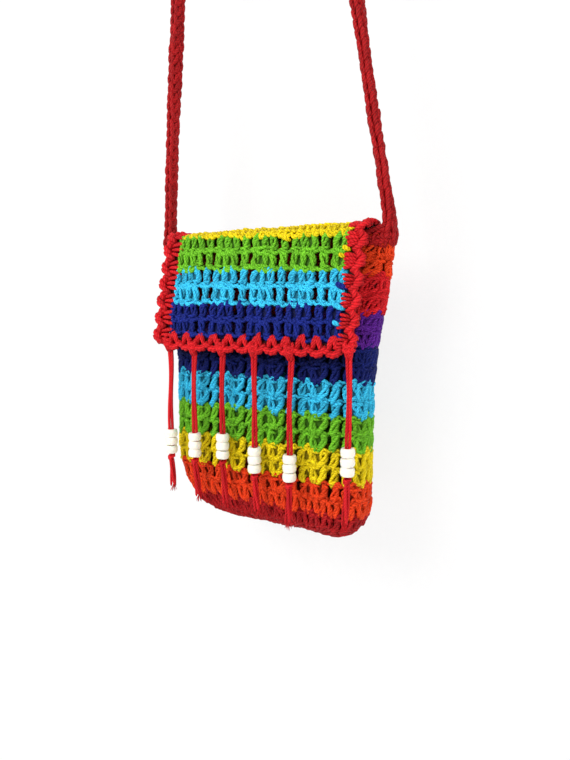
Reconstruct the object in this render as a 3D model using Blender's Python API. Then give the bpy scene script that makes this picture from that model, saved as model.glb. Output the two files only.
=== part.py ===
"""A crocheted crossbody bag with a flap, a shell edging, beaded tassels and a long strap.

Row frame: +X along the bag's width, front towards -Y, +Z up. The origin is where a hook
carries the strap, and the bag hangs below it.
"""
import math

import bmesh
import bpy
from mathutils import Vector

# Driving dimensions, in metres
POUCH_STITCH = 0.0055    # width of one double crochet on the pouch
FLAP_STITCH = 0.0051     # and on the flap
ROW = 0.0113             # height of one round on the upright walls
LOW_ROW = 0.0108         # height of one round where the wall rounds under
WALL = 0.0034            # thickness of the crocheted fabric
GAP = 0.0003             # clearance between pieces that touch
HOOK_DROP = 0.600        # from the hook down to the pouch's rim
POUCH_HALF_DEPTH = 0.0150
MOUTH_HALF_DEPTH = 0.0095
GUSSET_BULGE = 0.0025    # how far a gusset stands out low down
LEFT_BULGE = 0.0200      # how far the strap pulls each one out at the rim
RIGHT_BULGE = 0.0155
BELLY = 0.0030           # how far the front and back panels crown
CORNER = 0.0070          # radius of the upright corners
UNDER_RADIUS = 0.0100    # rounding from wall to base, seen from the side
UNDER_INSET = 0.0100     # how far the panels draw in to the base
LEFT_END_RADIUS = 0.0500 # rounding of the lower left corner, seen from the front
LEFT_END_INSET = 0.0500
RIGHT_END_RADIUS = 0.0250
RIGHT_END_INSET = 0.0160
SPREAD_START = 0.095     # height above the base where the gussets start to open out

FLAP_ROW = 0.0117
FLAP_CREST = 0.0105      # rise of the fold's top above the rim
FOLD_HEIGHT = 0.0050     # from the fold's sides up to its top
FOLD_FRONT = 0.0155      # how far the fold's front lies ahead of the strap
FLAP_BACK_INSET = 0.0005 # how far the flap's foot lies inside the pouch's back
FLARE = 0.0105           # how far the flap's lower edge stands forward of the fold
FLAP_NARROWING = 0.0015  # each side, from the fold to the lower edge
FLAP_SLANT = 0.0027      # how much lower its upper rows lie at the right than in the middle
LEFT_SHELL_REACH = 0.0140    # how far the edging's side shells stand out
RIGHT_SHELL_REACH = 0.0105
BOTTOM_SHELL_REACH = 0.0088
SHELL_NOTCH = 0.0023     # depth of the notch between two shells
SHELL_PITCH = 0.0125

STRAP_WIDTH = 0.0100
STRAP_THICK = 0.0056
STRAP_FOOT_WIDTH = 0.0170
STRAP_FOOT_RISE = 0.0140
HOOK_RADIUS = 0.0150     # inside radius of the strap's bend over its hook
STRAP_SWAY = 0.0135      # how far both runs bow to the left, half-way up

CORD = 0.0036            # a doubled yarn
KNOT = 0.0068            # diameter of the knot under the beads
BEAD = 0.0090
BEAD_HEIGHT = 0.0058
BEAD_HOLE = 0.0042
BEAD_FACE = 0.0068       # diameter where the barrel meets its flat ends

# Stitch counts
FRONT_STITCHES = 27
GUSSET_STITCHES = 5
POUCH_ROWS = 18
LOW_ROWS = 4
FLAP_TOP_ROWS = 3        # rows that lie over the top, all in the first colour
FLAP_FRONT_ROWS = 6
ROWS_PER_COLOUR = 2
POUCH_FIRST_HOLE = 5     # stitches before the first hole of a row
FLAP_FIRST_HOLE = 4
HOLE_PERIOD = 6          # hole, one stitch, hole, three stitches
HOLE_PAIRS = 4
FIRST_HOLED_ROW = 4
HOLE_LOW, HOLE_HIGH = 0.22, 0.76   # a hole's ends, as shares of its row
RIDGE_OUT, RIDGE_IN = 0.0005, -0.0004

# Each tassel: place along the front, height of its bead stack's top and of its end above the base
TASSELS = (
    (-0.0729, 0.0619, 0.0173),
    (-0.0497, 0.0618, 0.0130),
    (-0.0242, 0.0640, 0.0111),
    (0.0035, 0.0577, 0.0111),
    (0.0320, 0.0559, 0.0066),
    (0.0748, 0.0655, 0.0131),
)

# Yarn colours: red, green, blue, each as linear light
COLOURS = {
    "yarn_dark_red": (0.40, 0.010, 0.018),
    "yarn_orange": (0.87, 0.10, 0.008),
    "yarn_yellow": (0.90, 0.62, 0.010),
    "yarn_green": (0.12, 0.43, 0.020),
    "yarn_sky": (0.03, 0.42, 0.82),
    "yarn_navy": (0.008, 0.014, 0.16),
    "yarn_purple": (0.115, 0.015, 0.29),
    "yarn_red": (0.62, 0.010, 0.022),
    "bead_cream": (0.93, 0.88, 0.76),
}
POUCH_STRIPES = (
    "yarn_dark_red", "yarn_orange", "yarn_yellow", "yarn_green", "yarn_sky",
    "yarn_navy", "yarn_purple", "yarn_red", "yarn_orange",
)
FLAP_STRIPES = ("yarn_yellow", "yarn_green", "yarn_sky", "yarn_navy")

# Derived places
POUCH_HALF_WIDTH = FRONT_STITCHES * POUCH_STITCH / 2
FLAP_HALF_WIDTH = FRONT_STITCHES * FLAP_STITCH / 2
STITCHES_ROUND = 2 * (FRONT_STITCHES + GUSSET_STITCHES)
RIM_Z = -HOOK_DROP
FOLD_STEPS = 8           # straight steps round the fold
SHELL_STEPS = 4          # straight steps round a shell


def clear_scene():
    for obj in list(bpy.data.objects):
        bpy.data.objects.remove(obj, do_unlink=True)


def material(name, roughness=0.9):
    mat = bpy.data.materials.get(name)
    if mat is None:
        mat = bpy.data.materials.new(name)
        mat.use_nodes = True
        shader = mat.node_tree.nodes["Principled BSDF"]
        shader.inputs["Base Color"].default_value = (*COLOURS[name], 1.0)
        shader.inputs["Roughness"].default_value = roughness
        shader.inputs["Metallic"].default_value = 0.0
    return mat


def add_object(name, mesh, materials):
    for slot in materials:
        mesh.materials.append(material(slot))
    obj = bpy.data.objects.new(name, mesh)
    bpy.context.scene.collection.objects.link(obj)
    return obj


def hole_stitches(first):
    """The stitches left out of a row, as pairs with one stitch between them."""
    return [first + HOLE_PERIOD * i + j for i in range(HOLE_PAIRS) for j in (0, 2)]


def smooth_step(value):
    t = min(max(value, 0.0), 1.0)
    return t * t * (3 - 2 * t)


def row_rise(row):
    """Height above the base at a row, which may be a fraction."""
    if row <= LOW_ROWS:
        arc = row * LOW_ROW
        quarter = math.pi / 2 * UNDER_RADIUS
        if arc < quarter:
            return UNDER_RADIUS * (1 - math.cos(arc / UNDER_RADIUS))
        return UNDER_RADIUS + arc - quarter
    return row_rise(LOW_ROWS) + (row - LOW_ROWS) * ROW


POUCH_HEIGHT = row_rise(POUCH_ROWS)
BASE_Z = RIM_Z - POUCH_HEIGHT


def rounding(rise, radius, inset):
    """How far a wall draws in at this height, where it rounds under."""
    if rise >= radius:
        return 0.0
    return inset * (1 - math.sqrt(max(0.0, 1 - (1 - rise / radius) ** 2)))


def rounded_rectangle(share, half_x, half_y, corner):
    """Point and outward normal at a share of the way round, from the front's left end."""
    straight_x = 2 * (half_x - corner)
    straight_y = 2 * (half_y - corner)
    arc = math.pi / 2 * corner
    at = (share % 1.0) * (2 * straight_x + 2 * straight_y + 4 * arc) - arc / 2
    sides = (
        (straight_x, arc, Vector((1, 0)), Vector((0, -1)), Vector((-half_x + corner, -half_y))),
        (straight_y, arc, Vector((0, 1)), Vector((1, 0)), Vector((half_x, -half_y + corner))),
        (straight_x, arc, Vector((-1, 0)), Vector((0, 1)), Vector((half_x - corner, half_y))),
        (straight_y, arc, Vector((0, -1)), Vector((-1, 0)), Vector((-half_x, half_y - corner))),
    )
    if at < 0:
        at += 2 * straight_x + 2 * straight_y + 4 * arc
    for straight, bend, along, out, start in sides:
        if at <= straight:
            return start + along * at, out
        at -= straight
        if at <= bend:
            turn = at / corner
            centre = start + along * straight - out * corner
            normal = out * math.cos(turn) + along * math.sin(turn)
            return centre + normal * corner, normal
        at -= bend
    return sides[0][4], sides[0][3]


def pouch_point(stitch, row, out=0.0):
    """A point of the pouch's outer face, at a stitch round it and a row up it."""
    rise = row_rise(row)
    spread = smooth_step((rise - SPREAD_START) / (POUCH_HEIGHT - SPREAD_START))
    left = POUCH_HALF_WIDTH - rounding(rise, LEFT_END_RADIUS, LEFT_END_INSET)
    right = POUCH_HALF_WIDTH - rounding(rise, RIGHT_END_RADIUS, RIGHT_END_INSET)
    half_x = (left + right) / 2
    half_y = POUCH_HALF_DEPTH + (MOUTH_HALF_DEPTH - POUCH_HALF_DEPTH) * spread
    half_y -= rounding(rise, UNDER_RADIUS, UNDER_INSET)
    belly = BELLY * math.sin(math.pi * min(1.0, rise / POUCH_HEIGHT))
    corner = min(CORNER, 0.8 * half_y)
    place, normal = rounded_rectangle(stitch / STITCHES_ROUND, half_x, half_y, corner)
    mouth_bulge = LEFT_BULGE if place.x < 0 else RIGHT_BULGE
    bulge = GUSSET_BULGE + (mouth_bulge - GUSSET_BULGE) * spread
    side = abs(place.x) / half_x
    face = abs(place.y) / half_y
    x = (right - left) / 2 + place.x
    x += math.copysign(bulge * side ** 8 * math.cos(math.pi / 2 * place.y / half_y), place.x)
    y = place.y + math.copysign(belly * face ** 4 * math.cos(math.pi / 2 * place.x / half_x), place.y)
    return Vector((x + normal.x * out, y + normal.y * out, BASE_Z + rise))


def fabric(name, columns, levels, point, holes, stripe_of, stripes, closed):
    """A crocheted sheet: a grid of columns and levels with holes left out, given its thickness.

    A closed sheet goes round and has a base; an open one has its levels running downwards.
    """
    bm = bmesh.new()
    grid = [[bm.verts.new(point(column, level)) for column in columns] for level in levels]
    width = len(columns)
    spans = width if closed else width - 1
    for j in range(len(levels) - 1):
        for i in range(spans):
            if (i, j) in holes:
                continue
            k = (i + 1) % width
            face = bm.faces.new((grid[j][i], grid[j][k], grid[j + 1][k], grid[j + 1][i]))
            face.material_index = stripe_of(levels[j])
    if closed:
        bm.faces.new(list(reversed(grid[0])))
    else:
        bmesh.ops.reverse_faces(bm, faces=bm.faces)
    mesh = bpy.data.meshes.new(name)
    bm.to_mesh(mesh)
    bm.free()
    obj = add_object(name, mesh, stripes)
    thick = obj.modifiers.new("Wall", "SOLIDIFY")
    thick.thickness = WALL
    thick.offset = -1.0
    thick.use_even_offset = True
    thick.use_quality_normals = True
    return obj


def hole_lines(count, holes):
    """Column lines across a panel: its ends and both sides of every hole."""
    lines = {0, count}
    for hole in holes:
        lines.update((hole, hole + 1))
    return sorted(lines)


def row_lines(rows):
    """Level lines: each row gives the two ends of its holes."""
    lines = [0.0]
    for row in range(rows):
        lines += [row + HOLE_LOW, row + HOLE_HIGH]
    return lines + [float(rows)]


def ridge(level):
    """The top of each row stands proud of its foot. Whole levels are a sheet's two ends."""
    share = level % 1.0
    top_of_row = abs(share - HOLE_HIGH) < 1e-6 or (share == 0.0 and level > 0)
    return RIDGE_OUT if top_of_row else RIDGE_IN


def holes_between(columns, levels, first_row, holes):
    """Grid cells that are holes."""
    cells = set()
    for j, level in enumerate(levels[:-1]):
        if abs(level % 1.0 - HOLE_LOW) > 1e-6 or level < first_row:
            continue
        cells.update((i, j) for i, column in enumerate(columns) if column in holes)
    return cells


def make_pouch():
    """Front and gussets with their holes; the back keeps its ridges."""
    holes = hole_stitches(POUCH_FIRST_HOLE)
    front = hole_lines(FRONT_STITCHES, holes)
    gusset_steps = 4
    back_steps = 7
    right_end = FRONT_STITCHES + GUSSET_STITCHES
    columns = front + [FRONT_STITCHES + GUSSET_STITCHES * i / gusset_steps
                       for i in range(1, gusset_steps)]
    columns += [right_end + FRONT_STITCHES * i / back_steps for i in range(back_steps + 1)]
    columns += [right_end + FRONT_STITCHES + GUSSET_STITCHES * i / gusset_steps
                for i in range(1, gusset_steps)]
    levels = row_lines(POUCH_ROWS)
    fabric(
        "pouch", columns, levels,
        lambda column, level: pouch_point(column, level, ridge(level)),
        holes_between(front, levels, FIRST_HOLED_ROW, holes),
        lambda level: int(level // ROWS_PER_COLOUR), POUCH_STRIPES, closed=True,
    )


def flap_path():
    """Side view of the flap's outer face: up from the back rim, over the top, down the front."""
    back = MOUTH_HALF_DEPTH - FLAP_BACK_INSET
    middle = (back - FOLD_FRONT) / 2
    half_span = (back + FOLD_FRONT) / 2
    shoulder = RIM_Z + FLAP_CREST - FOLD_HEIGHT
    route = [(back, RIM_Z + GAP)]
    for i in range(FOLD_STEPS + 1):
        turn = math.pi * i / FOLD_STEPS
        route.append((middle + half_span * math.cos(turn), shoulder + FOLD_HEIGHT * math.sin(turn)))
    drop = FLAP_FRONT_ROWS * FLAP_ROW
    for i in range(1, FLAP_FRONT_ROWS + 1):
        share = i / FLAP_FRONT_ROWS
        route.append((-FOLD_FRONT - FLARE * share, shoulder - drop * share))
    return [Vector(p) for p in route]


FLAP_PATH = flap_path()
FLAP_LENGTHS = [0.0]
for before, after in zip(FLAP_PATH, FLAP_PATH[1:]):
    FLAP_LENGTHS.append(FLAP_LENGTHS[-1] + (after - before).length)
FLAP_ROWS = FLAP_TOP_ROWS + FLAP_FRONT_ROWS
FOLD_LENGTH = FLAP_LENGTHS[FOLD_STEPS + 1]


def flap_side(arc):
    """Point (Y, Z) and outward normal of the flap's side view at a length along it."""
    i = 0
    while i < len(FLAP_PATH) - 2 and arc > FLAP_LENGTHS[i + 1]:
        i += 1
    span = FLAP_LENGTHS[i + 1] - FLAP_LENGTHS[i]
    share = (arc - FLAP_LENGTHS[i]) / span
    along = (FLAP_PATH[i + 1] - FLAP_PATH[i]) / span
    point = FLAP_PATH[i] + along * (arc - FLAP_LENGTHS[i])
    ahead = min(i + 1, len(FLAP_PATH) - 2)
    behind = max(i - 1, 0)
    if share > 0.5:
        other = (FLAP_PATH[ahead + 1] - FLAP_PATH[ahead]).normalized()
        mix = share - 0.5
    else:
        other = (FLAP_PATH[behind + 1] - FLAP_PATH[behind]).normalized()
        mix = 0.5 - share
    tangent = (along * (1 - mix) + other * mix).normalized()
    return point, Vector((tangent.y, -tangent.x))


def flap_arc(row):
    """Length along the flap at a row: the rows over the top, then the front's rows."""
    if row <= FLAP_TOP_ROWS:
        return row / FLAP_TOP_ROWS * FOLD_LENGTH
    return FOLD_LENGTH + (row - FLAP_TOP_ROWS) * FLAP_ROW


FLAP_END = flap_arc(FLAP_ROWS)


def flap_point(across, arc, out=0.0):
    """A point of the flap's outer face, at a distance across it and a length along it."""
    point, normal = flap_side(arc)
    shrink = FLAP_NARROWING * smooth_step(arc / FLAP_END) / FLAP_HALF_WIDTH
    return Vector((across * (1 - shrink), point.x + normal.x * out, point.y + normal.y * out))


def flap_slant(across, row):
    """How much further along the flap a row lies here than in the middle. Both ends lie level."""
    if row < FLAP_TOP_ROWS:
        share = row / FLAP_TOP_ROWS
    else:
        share = (FLAP_ROWS - row) / FLAP_FRONT_ROWS
    return FLAP_SLANT * across / FLAP_HALF_WIDTH * smooth_step(share)


def flap_stitch_point(stitch, row, out=0.0):
    across = stitch * FLAP_STITCH - FLAP_HALF_WIDTH
    return flap_point(across, flap_arc(row) + flap_slant(across, row), out)


def make_flap():
    holes = hole_stitches(FLAP_FIRST_HOLE)
    columns = hole_lines(FRONT_STITCHES, holes)
    levels = row_lines(FLAP_ROWS)
    fabric(
        "flap", columns, levels,
        lambda column, level: flap_stitch_point(column, level, ridge(level)),
        holes_between(columns, levels, FLAP_TOP_ROWS, holes),
        lambda level: max(0, int((level - FLAP_TOP_ROWS) // ROWS_PER_COLOUR + 1)),
        FLAP_STRIPES, closed=False,
    )


def shell_reach(reach, share):
    """A shell's reach at a share of the way along the band, one shell a whole number."""
    return reach - SHELL_NOTCH * (1 - abs(math.sin(math.pi * share)))


def edging_outline():
    """Inner and outer line of the shell band, as (across, arc) pairs, left side, bottom, right."""
    low = FLAP_END + GAP
    side = FLAP_HALF_WIDTH + GAP
    last = low + BOTTOM_SHELL_REACH / 2
    side_shells = int(last // SHELL_PITCH)
    start = last - side_shells * SHELL_PITCH
    bottom_shells = round(2 * side / SHELL_PITCH) + 1
    inner, outer = [], []
    for i in range(side_shells * SHELL_STEPS + 1):
        share = i / SHELL_STEPS
        arc = start + share * SHELL_PITCH
        inner.append((-side, min(arc, low)))
        outer.append((-side - shell_reach(LEFT_SHELL_REACH, share), arc))
    mirror = len(inner)
    widening = RIGHT_SHELL_REACH - LEFT_SHELL_REACH
    pitch = 2 * side / bottom_shells
    for i in range(1, bottom_shells * SHELL_STEPS):
        share = i / SHELL_STEPS
        inner.append((-side + share * pitch, low))
        outer.append((-side + share * pitch, low + shell_reach(BOTTOM_SHELL_REACH, share)))
    inner += [(-x, arc) for x, arc in reversed(inner[:mirror])]
    outer += [(-x + widening, arc) for x, arc in reversed(outer[:mirror])]
    return inner, outer


def edging_end(low, high):
    """The furthest that the edging reaches along the flap, between two places across it."""
    outer = edging_outline()[1]
    ends = [arc for x, arc in outer if low <= x <= high]
    for (x0, arc0), (x1, arc1) in zip(outer, outer[1:]):
        for x in (low, high):
            if x0 != x1 and min(x0, x1) <= x <= max(x0, x1):
                ends.append(arc0 + (arc1 - arc0) * (x - x0) / (x1 - x0))
    return max(ends)


def make_edging():
    """The band of shells, one solid strip with a scalloped outer side."""
    inner, outer = edging_outline()
    bm = bmesh.new()
    strip = [[bm.verts.new(flap_point(x, arc)) for x, arc in line] for line in (inner, outer)]
    for i in range(len(inner) - 1):
        corners = [strip[0][i], strip[1][i], strip[1][i + 1], strip[0][i + 1]]
        unique = []
        for vert in corners:
            if all((vert.co - other.co).length > 1e-6 for other in unique):
                unique.append(vert)
        if len(unique) > 2:
            bm.faces.new(unique)
    bmesh.ops.remove_doubles(bm, verts=bm.verts, dist=1e-6)
    mesh = bpy.data.meshes.new("flap_edging")
    bm.to_mesh(mesh)
    bm.free()
    obj = add_object("flap_edging", mesh, ["yarn_red"])
    thick = obj.modifiers.new("Band", "SOLIDIFY")
    thick.thickness = WALL
    thick.offset = -1.0


def strap_route():
    """Centre line of the strap from the left foot over the hook to the right foot."""
    bend = HOOK_RADIUS + STRAP_THICK / 2
    top = STRAP_THICK / 2 - bend
    runs = 26
    sides = []
    for side, bulge in ((-1, LEFT_BULGE), (1, RIGHT_BULGE)):
        foot = POUCH_HALF_WIDTH + bulge - STRAP_THICK / 2
        lean = math.asin((foot - bend) / math.hypot(foot, HOOK_DROP + top))
        start = Vector((side * foot, 0, RIM_Z + STRAP_FOOT_RISE))
        leave = Vector((side * bend * math.cos(lean), 0, top + bend * math.sin(lean)))
        run = [Vector((side * foot, 0, RIM_Z + GAP))]
        for i in range(runs + 1):
            share = i / runs
            place = start.lerp(leave, share)
            place.x -= STRAP_SWAY * 4 * share * (1 - share)
            run.append(place)
        sides.append((run, lean))
    (points, left_lean), (right, right_lean) = sides
    turns = 8
    for i in range(1, turns):
        angle = math.pi - left_lean - (math.pi - left_lean - right_lean) * i / turns
        points.append(Vector((bend * math.cos(angle), 0, top + bend * math.sin(angle))))
    return points + list(reversed(right))


def make_strap():
    """A band with rounded edges that widens at each foot, set along the route."""
    route = strap_route()
    sides = 8
    bm = bmesh.new()
    rings = []
    for i, centre in enumerate(route):
        ahead = route[min(i + 1, len(route) - 1)] - route[max(i - 1, 0)]
        along = ahead.normalized()
        if i in (0, len(route) - 1):
            along = Vector((0, 0, 1 if i == 0 else -1))
        thin = Vector((0, 1, 0)).cross(along).normalized()
        rise = centre.z - RIM_Z
        widen = 1 - smooth_step(rise / STRAP_FOOT_RISE)
        half_wide = (STRAP_WIDTH + (STRAP_FOOT_WIDTH - STRAP_WIDTH) * widen) / 2
        ring = []
        for j in range(sides):
            angle = 2 * math.pi * (j + 0.5) / sides
            ring.append(bm.verts.new(centre + Vector((0, half_wide, 0)) * math.cos(angle)
                                     / math.cos(math.pi / sides)
                                     + thin * (STRAP_THICK / 2) * math.sin(angle)
                                     / math.cos(math.pi / sides)))
        rings.append(ring)
    for low, high in zip(rings, rings[1:]):
        for j in range(sides):
            k = (j + 1) % sides
            bm.faces.new((low[j], low[k], high[k], high[j]))
    bm.faces.new(list(reversed(rings[0])))
    bm.faces.new(rings[-1])
    bmesh.ops.recalc_face_normals(bm, faces=bm.faces)
    mesh = bpy.data.meshes.new("strap")
    bm.to_mesh(mesh)
    bm.free()
    add_object("strap", mesh, ["yarn_dark_red"])


def tassel_start(across):
    """Where a tassel leaves the edging's lower side."""
    end = edging_end(across - CORD / 2, across + CORD / 2)
    front = flap_point(across, end)
    back = flap_point(across, end, -WALL)
    return Vector((front.x, (front.y + back.y) / 2, min(front.z, back.z) - GAP))


def make_tassel_cord(number, across, bead_top, end):
    """A doubled yarn: down through three beads to a knot, then its tail."""
    start = tassel_start(across)
    bead_z = BASE_Z + bead_top
    knot_top = bead_z - 3 * BEAD_HEIGHT - 3 * GAP - GAP
    tail_z = BASE_Z + end
    heights = [start.z]
    steps = 6
    heights += [start.z + (knot_top - start.z) * i / steps for i in range(1, steps)]
    heights += [knot_top + 0.0004, knot_top - 0.0004, knot_top - 0.0022, knot_top - 0.0042,
                knot_top - 0.0058]
    tail_steps = 3
    heights += [knot_top - 0.0058 + (tail_z - knot_top + 0.0058) * i / tail_steps
                for i in range(1, tail_steps + 1)]
    curve = bpy.data.curves.new(f"tassel_cord_{number}", "CURVE")
    curve.dimensions = "3D"
    curve.bevel_depth = CORD / 2
    curve.bevel_resolution = 2
    curve.use_fill_caps = True
    spline = curve.splines.new("POLY")
    spline.points.add(len(heights) - 1)
    for place, z in zip(spline.points, heights):
        place.co = (start.x, start.y, z, 1.0)
        depth = knot_top - z
        place.radius = KNOT / CORD if 0.0003 < depth < 0.0043 else 1.0
    add_object(f"tassel_cord_{number}", curve, ["yarn_red"])


def bead_mesh():
    """A barrel bead with its bore, turned about Z, its lower face at zero."""
    sides = 10
    outer = [
        (BEAD_FACE / 2, 0.0),
        (BEAD / 2, BEAD_HEIGHT * 0.30),
        (BEAD / 2, BEAD_HEIGHT * 0.70),
        (BEAD_FACE / 2, BEAD_HEIGHT),
    ]
    profile = outer + [(BEAD_HOLE / 2, BEAD_HEIGHT), (BEAD_HOLE / 2, 0.0)]
    reach = 1 / math.cos(math.pi / sides)
    bm = bmesh.new()
    rings = []
    for j in range(sides):
        angle = 2 * math.pi * j / sides
        rings.append([bm.verts.new((r * reach * math.cos(angle), r * reach * math.sin(angle), z))
                      for r, z in profile])
    for j in range(sides):
        ring, other = rings[j], rings[(j + 1) % sides]
        for i in range(len(profile)):
            k = (i + 1) % len(profile)
            bm.faces.new((ring[i], other[i], other[k], ring[k]))
    bmesh.ops.recalc_face_normals(bm, faces=bm.faces)
    mesh = bpy.data.meshes.new("bead")
    bm.to_mesh(mesh)
    bm.free()
    mesh.materials.append(material("bead_cream", roughness=0.35))
    mesh.shade_smooth()
    mesh.set_sharp_from_angle(angle=math.radians(50))
    return mesh


def make_beads(number, across, bead_top, mesh):
    start = tassel_start(across)
    for i, word in enumerate(("top", "middle", "bottom")):
        bead = bpy.data.objects.new(f"bead_{number}_{word}", mesh)
        low = BASE_Z + bead_top - (i + 1) * BEAD_HEIGHT - i * GAP
        bead.location = (start.x, start.y, low)
        bpy.context.scene.collection.objects.link(bead)


def main():
    clear_scene()
    make_pouch()
    make_flap()
    make_edging()
    make_strap()
    mesh = bead_mesh()
    for number, (across, bead_top, end) in enumerate(TASSELS, start=1):
        make_tassel_cord(number, across, bead_top, end)
        make_beads(number, across, bead_top, mesh)


main()
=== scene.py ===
"""Dresses a crocheted crossbody bag: its stitches, shell edging, strap, tassels and beads.

The yarn is swept along every strand of every stitch. Strands are drawn once, on one stitch,
and laid over the bag by the functions that say where its cloth hangs.
"""
import math
from functools import partialmethod

import bmesh
import bpy
import numpy as np
from mathutils import Matrix, Vector


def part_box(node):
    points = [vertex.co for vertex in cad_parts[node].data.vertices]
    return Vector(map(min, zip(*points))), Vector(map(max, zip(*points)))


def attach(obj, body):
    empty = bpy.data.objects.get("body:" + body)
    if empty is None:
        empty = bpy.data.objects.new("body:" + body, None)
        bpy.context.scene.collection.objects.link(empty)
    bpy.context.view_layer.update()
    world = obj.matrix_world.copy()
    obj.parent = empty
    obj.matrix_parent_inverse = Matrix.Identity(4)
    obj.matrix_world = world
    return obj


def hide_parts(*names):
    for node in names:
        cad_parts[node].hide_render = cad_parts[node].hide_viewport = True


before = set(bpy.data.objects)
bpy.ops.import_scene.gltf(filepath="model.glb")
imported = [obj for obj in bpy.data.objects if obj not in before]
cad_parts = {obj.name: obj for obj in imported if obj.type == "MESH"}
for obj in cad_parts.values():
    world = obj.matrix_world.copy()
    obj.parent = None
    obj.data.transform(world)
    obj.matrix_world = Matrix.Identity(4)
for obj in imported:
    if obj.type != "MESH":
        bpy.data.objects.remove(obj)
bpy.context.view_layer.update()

bl_info = {
    "name": "Crocheted crossbody bag",
    "version": (1, 0, 0),
    "blender": (4, 5, 0),
    "location": "3D View > Sidebar > Bag",
    "description": "Lays crochet stitches, shells, tassels and beads over a hanging bag",
    "category": "Object",
}

BODY = "root"
WHITE = (1.0, 1.0, 1.0, 1.0)

GAP = 0.0003  # between solids that touch, in metres

# Places read from the solids, in metres
RIM_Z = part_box("strap")[0].z - GAP
BASE_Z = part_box("pouch")[0].z

# The cloth's own sizes, in metres, as the solids have them
POUCH_STITCH = 0.0055
FLAP_STITCH = 0.0051
ROW = 0.0113
LOW_ROW = 0.0108
LOW_ROWS = 4
POUCH_HALF_DEPTH = 0.0150
MOUTH_HALF_DEPTH = 0.0095
GUSSET_BULGE = 0.0025
LEFT_BULGE = 0.0200
RIGHT_BULGE = 0.0155
BELLY = 0.0030
CORNER = 0.0070
UNDER_RADIUS = 0.0100
UNDER_INSET = 0.0100
LEFT_END = (0.0500, 0.0500)  # radius and inset of the lower left corner
RIGHT_END = (0.0250, 0.0160)
SPREAD_START = 0.095
FLAP_ROW = 0.0117
FLAP_CREST = 0.0105
FOLD_HEIGHT = 0.0050
FOLD_FRONT = 0.0155
FLAP_BACK_INSET = 0.0005
FLARE = 0.0105
FLAP_NARROWING = 0.0015
FLAP_SLANT = 0.0027
FLAP_LEFT_DRIFT = 0.0055  # not in the solids: how far the flap's lower left leans out
LEFT_SHELL_REACH = 0.0140
RIGHT_SHELL_REACH = 0.0105
BOTTOM_SHELL_REACH = 0.0088
SHELL_NOTCH = 0.0023
SHELL_PITCH = 0.0125
SHELL_GROWTH = 0.0010  # how much further the shells reach than the solids' edging
LEFT_SHELL_CUT = 0.0020  # and how much less on the left, where the flap itself leans out
WALL = 0.0034
STRAP_WIDTH = 0.0100
STRAP_THICK = 0.0056
STRAP_FOOT_RISE = 0.0140
STRAP_ROW = 0.0066
STRAP_YARN = 1.34  # thickness of its yarn, beside the stitches'
FAN_RISE = 0.012  # how far up the strap its fans at the gussets start,
FAN_SPREAD = 0.0045  # how far they spread over it
FAN_DROOP = 0.004  # and droop at their sides
FAN_RAYS = 11
HOOK_DROP = 0.600
HOOK_RADIUS = 0.0150
STRAP_SWAY = 0.0135

# Stitch counts
FRONT_STITCHES = 27
GUSSET_STITCHES = 5
STITCHES_ROUND = 2 * (FRONT_STITCHES + GUSSET_STITCHES)
POUCH_ROWS = 18
FLAP_TOP_ROWS = 3
FLAP_FRONT_ROWS = 6
FLAP_ROWS = FLAP_TOP_ROWS + FLAP_FRONT_ROWS
ROWS_PER_COLOUR = 2
POUCH_FIRST_HOLE = 5
FLAP_FIRST_HOLE = 4
HOLE_PERIOD = 6
HOLE_PAIRS = 4
FIRST_HOLED_ROW = 3
FOLD_STEPS = 8
GUSSET_HOLED_ROWS = 3  # top rows, of which each second one has a hole in each gusset
FULL_GUSSET_ROWS = 8  # top rows with stitches between the gussets' own
BASE_LINKS = 18

POUCH_HALF_WIDTH = FRONT_STITCHES * POUCH_STITCH / 2
FLAP_HALF_WIDTH = FRONT_STITCHES * FLAP_STITCH / 2
POUCH_HEIGHT = RIM_Z - BASE_Z

# Each tassel: height of its bead stack's top and of its end above the base, and how far its tail
# drifts to the right
TASSELS = ((0.0619, 0.0173, 0.0020), (0.0618, 0.0130, 0.0036), (0.0640, 0.0111, 0.0036),
           (0.0577, 0.0111, 0.0030), (0.0559, 0.0066, -0.0006), (0.0655, 0.0131, -0.0010))
BEAD_PLACES = ("top", "middle", "bottom")
BEAD_HEIGHT = 0.0058
BEAD_SIDES = 24
BEAD_BORE = 0.0021  # radius of the hole
BEAD_RIM_SHARE = 0.37  # a bead's radius before it is swollen, of its width
BEAD_ROUNDING = 0.00045
KNOT_DEPTH = 0.0046
KNOT_TURNS = 1.9
KNOT_HALF_WIDTHS = (0.0019, 0.0018)
TASSEL_POINTS = 56  # along the yarn from the edging to the end
HAIRS = 14  # frayed fibres at a tassel's end
HAIR_RADIUS = 0.00022

LAMP_SIZE = 0.9
# Mottling of the fibres, the yarn's patches, the beads' clouds and the wall's grain, per metre
FIBRE_SCALE, PATCH_SCALE, BEAD_SCALE, WALL_SCALE = 1400.0, 90.0, 260.0, 160.0
# How much darker a band of the pouch is painted than its yarn: painted shade for bands that hang in
# shade
PAINTED_BAND_SHADE = {"navy": 0.62, "green": 0.93, "sky": 0.93}
POUCH_BANDS = ("dark_red", "orange", "yellow", "green", "sky", "navy", "purple", "red", "orange")
FLAP_BANDS = ("yellow", "green", "sky", "navy")

# Bits of yarn out of their own band: colour, stitch across the flap, row down it, half their width
STRAYS = (("navy", 26.3, 5.9, 0.80), ("sky", 26.4, 7.1, 0.60), ("sky", 26.1, 8.0, 0.45),
          ("yellow", 26.5, 3.8, 0.50), ("yellow", 26.0, 4.2, 0.35), ("yellow", 17.7, 3.2, 0.60))

# The flap's shadow on the pouch: its depth, how far it falls below and beside, and its soft edge
SHADOW, SHADOW_DROP, SHADOW_SIDE, SHADOW_BLUR = 0.66, 0.010, 0.004, 0.011
BASE_INSET = 0.004  # of the foundation chain from the ends of the base

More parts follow.
